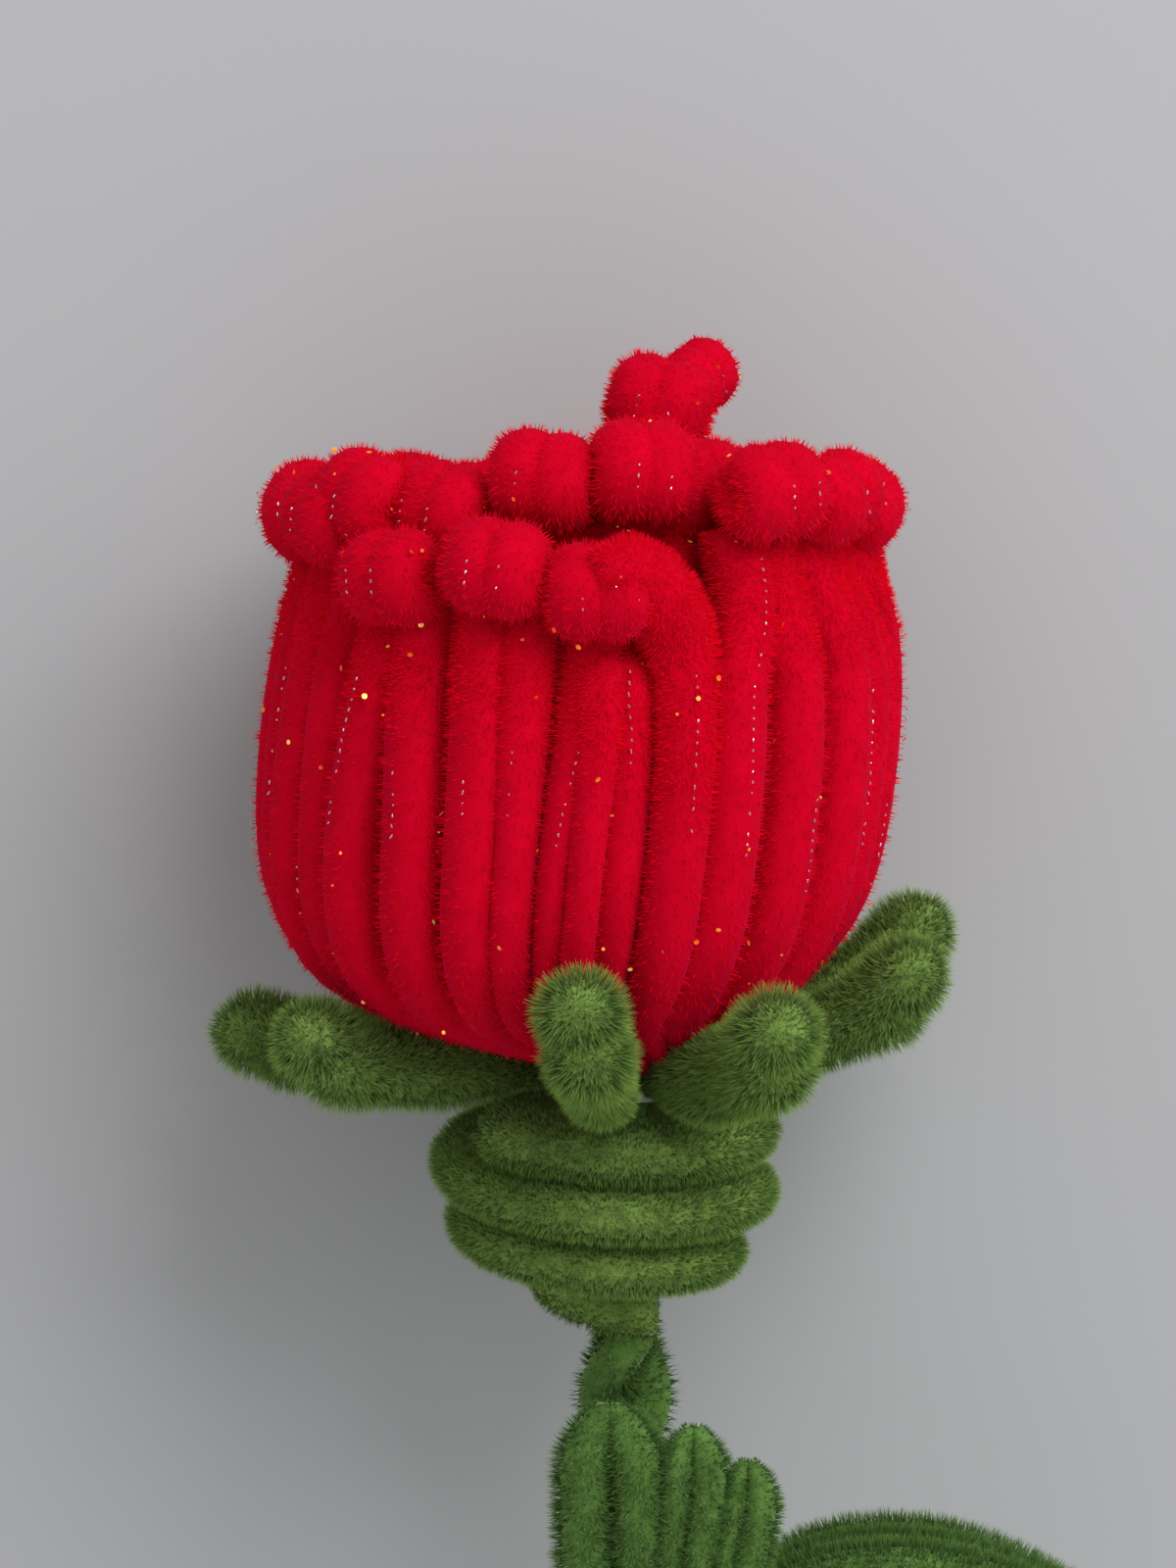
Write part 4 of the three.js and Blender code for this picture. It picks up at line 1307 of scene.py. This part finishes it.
def right_leaf_stems():
    across = Vector((0, 1, 0))
    stems = leaf_ring(LEAF_RIGHT_RING)
    for depth in LEAF_RIGHT_DEPTHS:
        shorten = abs(depth) * 0.5
        knots = [
            Vector((STEM_OFFSET + RING_RADIUS, 0, LEAF_RIGHT_RING)),
            Vector((LEAF_RIGHT_RISE[0], depth, LEAF_RIGHT_RISE[1])),
            Vector((LEAF_RIGHT_BEND[0], depth, LEAF_RIGHT_BEND[1])),
            Vector((LEAF_RIGHT_TIP[0] - shorten, depth * 0.6, LEAF_RIGHT_TIP[1])),
        ]
        stem = []
        for share in tip_stops(22, RIGHT_TIP_SHARE):
            out = heading(knots, share, 0.01).cross(across).normalized()
            full = smooth(share, 0, 0.35)
            thickness = lerp(RING_THICKNESS / 2, LEAF_THICKNESS, full) * tip_scale(share, RIGHT_TIP_SHARE)
            stem.append(Station(bezier(knots, share), across, out, thickness, thickness))
        stems.append(stem)
    return stems


# ---------------------------------------------------------------- operators


class ROSE_OT_outer_petals(bpy.types.Operator):
    """Folds the four outer petals"""

    bl_idname = "rose.outer_petals"
    bl_label = "Outer petals"

    def execute(self, context):
        for name in OUTER_PETALS:
            chenille_piece(name, outer_petal_stems(name), "red")
        return {"FINISHED"}


class ROSE_OT_inner_petals(bpy.types.Operator):
    """Folds the three inner petals and the bud"""

    bl_idname = "rose.inner_petals"
    bl_label = "Inner petals and bud"

    def execute(self, context):
        for name in INNER_PETALS:
            chenille_piece(name, inner_petal_stems(name), "red")
        chenille_piece("centre_bud", bud_stems(), "red")
        return {"FINISHED"}


class ROSE_OT_sepals(bpy.types.Operator):
    """Bends the eight sepals"""

    bl_idname = "rose.sepals"
    bl_label = "Sepals"

    def execute(self, context):
        for name in SEPALS:
            chenille_piece(name, sepal_stems(name), "green")
        return {"FINISHED"}


class ROSE_OT_stem(bpy.types.Operator):
    """Winds the calyx and twists the stem"""

    bl_idname = "rose.stem"
    bl_label = "Calyx and stem"

    def execute(self, context):
        chenille_piece("calyx_wrap", calyx_stem(), "green", core_share=WRAP_CORE)
        # The strands use the darker, painted-shade copy of the green pile
        chenille_piece("stem_strand_a", strand_stem(0), "leaf", core_share=STRAND_CORE)
        chenille_piece("stem_strand_b", strand_stem(180), "leaf", core_share=STRAND_CORE)
        return {"FINISHED"}


class ROSE_OT_leaves(bpy.types.Operator):
    """Bends the two leaves"""

    bl_idname = "rose.leaves"
    bl_label = "Leaves"

    def execute(self, context):
        # The leaves use the darker, painted-shade copy of the green pile
        chenille_piece("leaf_front", front_leaf_stems(), "leaf")
        chenille_piece("leaf_right", right_leaf_stems(), "leaf")
        return {"FINISHED"}


class ROSE_OT_wire(bpy.types.Operator):
    """Lets the twisted wire show where the pile parts"""

    bl_idname = "rose.wire"
    bl_label = "Wire"

    def execute(self, context):
        rng = random.Random(WIRE_SEED)
        front, right, back, left = (outer_legs(petal) for petal in OUTER_PETALS.values())
        lines = []
        for stem, (low, high) in zip(front + right[:1], WIRE_SHOWS):
            lines.append(leg_wire(stem, low, high, rng))
        for stem in right[1:] + back + left:
            low = rng.uniform(*OTHER_WIRE_FROM)
            high = low + rng.uniform(*OTHER_WIRE_LENGTH)
            lines.append(leg_wire(stem, low, high, rng))
        for name in OUTER_PETALS:
            lines += fold_wire(outer_petal_stems(name), len(OUTER_PETALS[name]["legs"]))
        for name in INNER_PETALS:
            lines += fold_wire(inner_petal_stems(name), INNER_PETALS[name]["legs"])
        lines += fold_wire(bud_stems(), 2)
        wire_piece("petal_wire", [line for line in lines if len(line) > 1])
        return {"FINISHED"}


class ROSE_OT_glitter(bpy.types.Operator):
    """Strews glitter flakes over the red stems"""

    bl_idname = "rose.glitter"
    bl_label = "Glitter"

    def execute(self, context):
        vertices, faces = [], []
        for core in RED_CORES:
            start = len(vertices)
            vertices += [vertex.co.copy() for vertex in core.vertices]
            faces += [[start + v for v in polygon.vertices] for polygon in core.polygons]
        skin = bpy.data.meshes.new("glitter_skin")
        skin.from_pydata(vertices, [], faces, shade_flat=False)
        pile = context.scene.rose_pile
        looks = {"Density": pile.flake_density, "Size": pile.flake_size, "Foil": MATERIALS["foil"]}
        flakes = with_tree(skin, TREES["flake"], Seed=FLAKE_SEED, **looks)
        place_piece("glitter", flakes)
        return {"FINISHED"}


class ROSE_OT_glue(bpy.types.Operator):
    """Sets the hot glue between the cup and the calyx"""

    bl_idname = "rose.glue"
    bl_label = "Hot glue"

    def execute(self, context):
        node = frame["nodes"]["glue_joint"]
        node.data.materials.clear()
        node.data.materials.append(MATERIALS["glue"])
        return {"FINISHED"}


class ROSE_OT_stage(bpy.types.Operator):
    """Sets the floor, the lights and the camera"""

    bl_idname = "rose.stage"
    bl_label = "Stage"

    def execute(self, context):
        stage = context.scene.rose_stage
        shades = context.scene.rose_colours
        self.floor(shades.floor)
        self.world(context.scene, shades.floor, stage.fill)
        focus = Vector(((CENTRE_PIXEL - AXIS_PIXEL) * PIXEL_SIZE, 0, CENTRE_HEIGHT))
        self.light("key_light", focus, KEY_FROM, 0.5, stage.key_power)
        self.light("side_light", focus, SIDE_FROM, 0.6, stage.key_power * SIDE_SHARE)
        self.camera(context.scene, focus, stage.distance)
        return {"FINISHED"}

    def floor(self, shade):
        material, graph, shader = new_material("floor_cloth")
        mixed = graph.blend(graph.noise(9.0, 2.0), opaque(shade, 0.94), opaque(shade, 1.06))
        graph.feed(shader, {"Base Color": mixed, "Roughness": 0.9})
        size = FLOOR_SIZE
        mesh = bpy.data.meshes.new("floor")
        corners = [(-size, -size, 0), (size, -size, 0), (size, size, 0), (-size, size, 0)]
        mesh.from_pydata(corners, [], [(0, 1, 2, 3)])
        mesh.materials.append(material)
        floor = bpy.data.objects.new("floor", mesh)
        bpy.context.scene.collection.objects.link(floor)

    def world(self, scene, shade, fill):
        world = bpy.data.worlds.new("soft_room")
        world.use_nodes = True
        scene.world = world
        graph = Graph(world.node_tree)
        background = world.node_tree.nodes["Background"]
        seen = graph.node("ShaderNodeLightPath").output("Is Camera Ray")
        strength = seen * (1.0 - fill) + fill
        mixed = graph.blend(seen, (1.0, 1.0, 1.0, 1.0), opaque(shade, 1.15))
        graph.feed(background, {"Color": mixed, "Strength": strength})

    def light(self, name, focus, direction, size, power):
        data = bpy.data.lights.new(name, "AREA")
        data.shape = "DISK"
        data.size = size
        data.energy = power
        lamp = bpy.data.objects.new(name, data)
        bpy.context.scene.collection.objects.link(lamp)
        aim = LAID_DOWN @ focus
        towards = (LAID_DOWN.to_3x3() @ direction).normalized()
        lamp.location = aim + towards * LAMP_DISTANCE
        lamp.rotation_euler = towards.to_track_quat("Z", "Y").to_euler()

    def camera(self, scene, focus, distance):
        data = bpy.data.cameras.new("camera")
        data.sensor_width = 36.0
        data.lens = data.sensor_width * distance * 1000 / (PHOTO_HEIGHT * PIXEL_SIZE)
        camera = bpy.data.objects.new("camera", data)
        scene.collection.objects.link(camera)
        tilt = math.radians(CAMERA_TILT)
        back = (LAID_DOWN.to_3x3() @ Vector((0, -math.cos(tilt), math.sin(tilt)))).normalized()
        up = (LAID_DOWN.to_3x3() @ Vector((0, math.sin(tilt), math.cos(tilt)))).normalized()
        turned = Matrix((up.cross(back), up, back)).transposed().to_4x4()
        camera.matrix_world = Matrix.Translation(LAID_DOWN @ focus + back * distance) @ turned
        scene.camera = camera


class ROSE_PT_panel(bpy.types.Panel):
    """Lists the rose's settings and steps"""

    bl_idname = "ROSE_PT_panel"
    bl_label = "Chenille Stem Rose"
    bl_space_type = "VIEW_3D"
    bl_region_type = "UI"
    bl_category = "Rose"

    def draw(self, context):
        for group in (context.scene.rose_pile, context.scene.rose_colours, context.scene.rose_stage):
            box = self.layout.box()
            for name in group.__annotations__:
                box.prop(group, name)
        for step in STEPS:
            self.layout.operator(step.bl_idname)


STEPS = (
    ROSE_OT_outer_petals,
    ROSE_OT_inner_petals,
    ROSE_OT_sepals,
    ROSE_OT_stem,
    ROSE_OT_leaves,
    ROSE_OT_wire,
    ROSE_OT_glitter,
    ROSE_OT_glue,
    ROSE_OT_stage,
)
GROUPS = {"rose_pile": RosePile, "rose_colours": RoseColours, "rose_stage": RoseStage}


def register():
    for kind in (*GROUPS.values(), *STEPS, ROSE_PT_panel):
        bpy.utils.register_class(kind)
    for name, kind in GROUPS.items():
        setattr(bpy.types.Scene, name, PointerProperty(type=kind))


def unregister():
    for name in GROUPS:
        delattr(bpy.types.Scene, name)
    for kind in reversed((*GROUPS.values(), *STEPS, ROSE_PT_panel)):
        bpy.utils.unregister_class(kind)


def main():
    register()
    prepare()
    for step in STEPS:
        operator = step.bl_idname.split(".")[1]
        getattr(bpy.ops.rose, operator)()
    bpy.context.scene.view_settings.view_transform = "Standard"


if __name__ == "__main__":
    main()
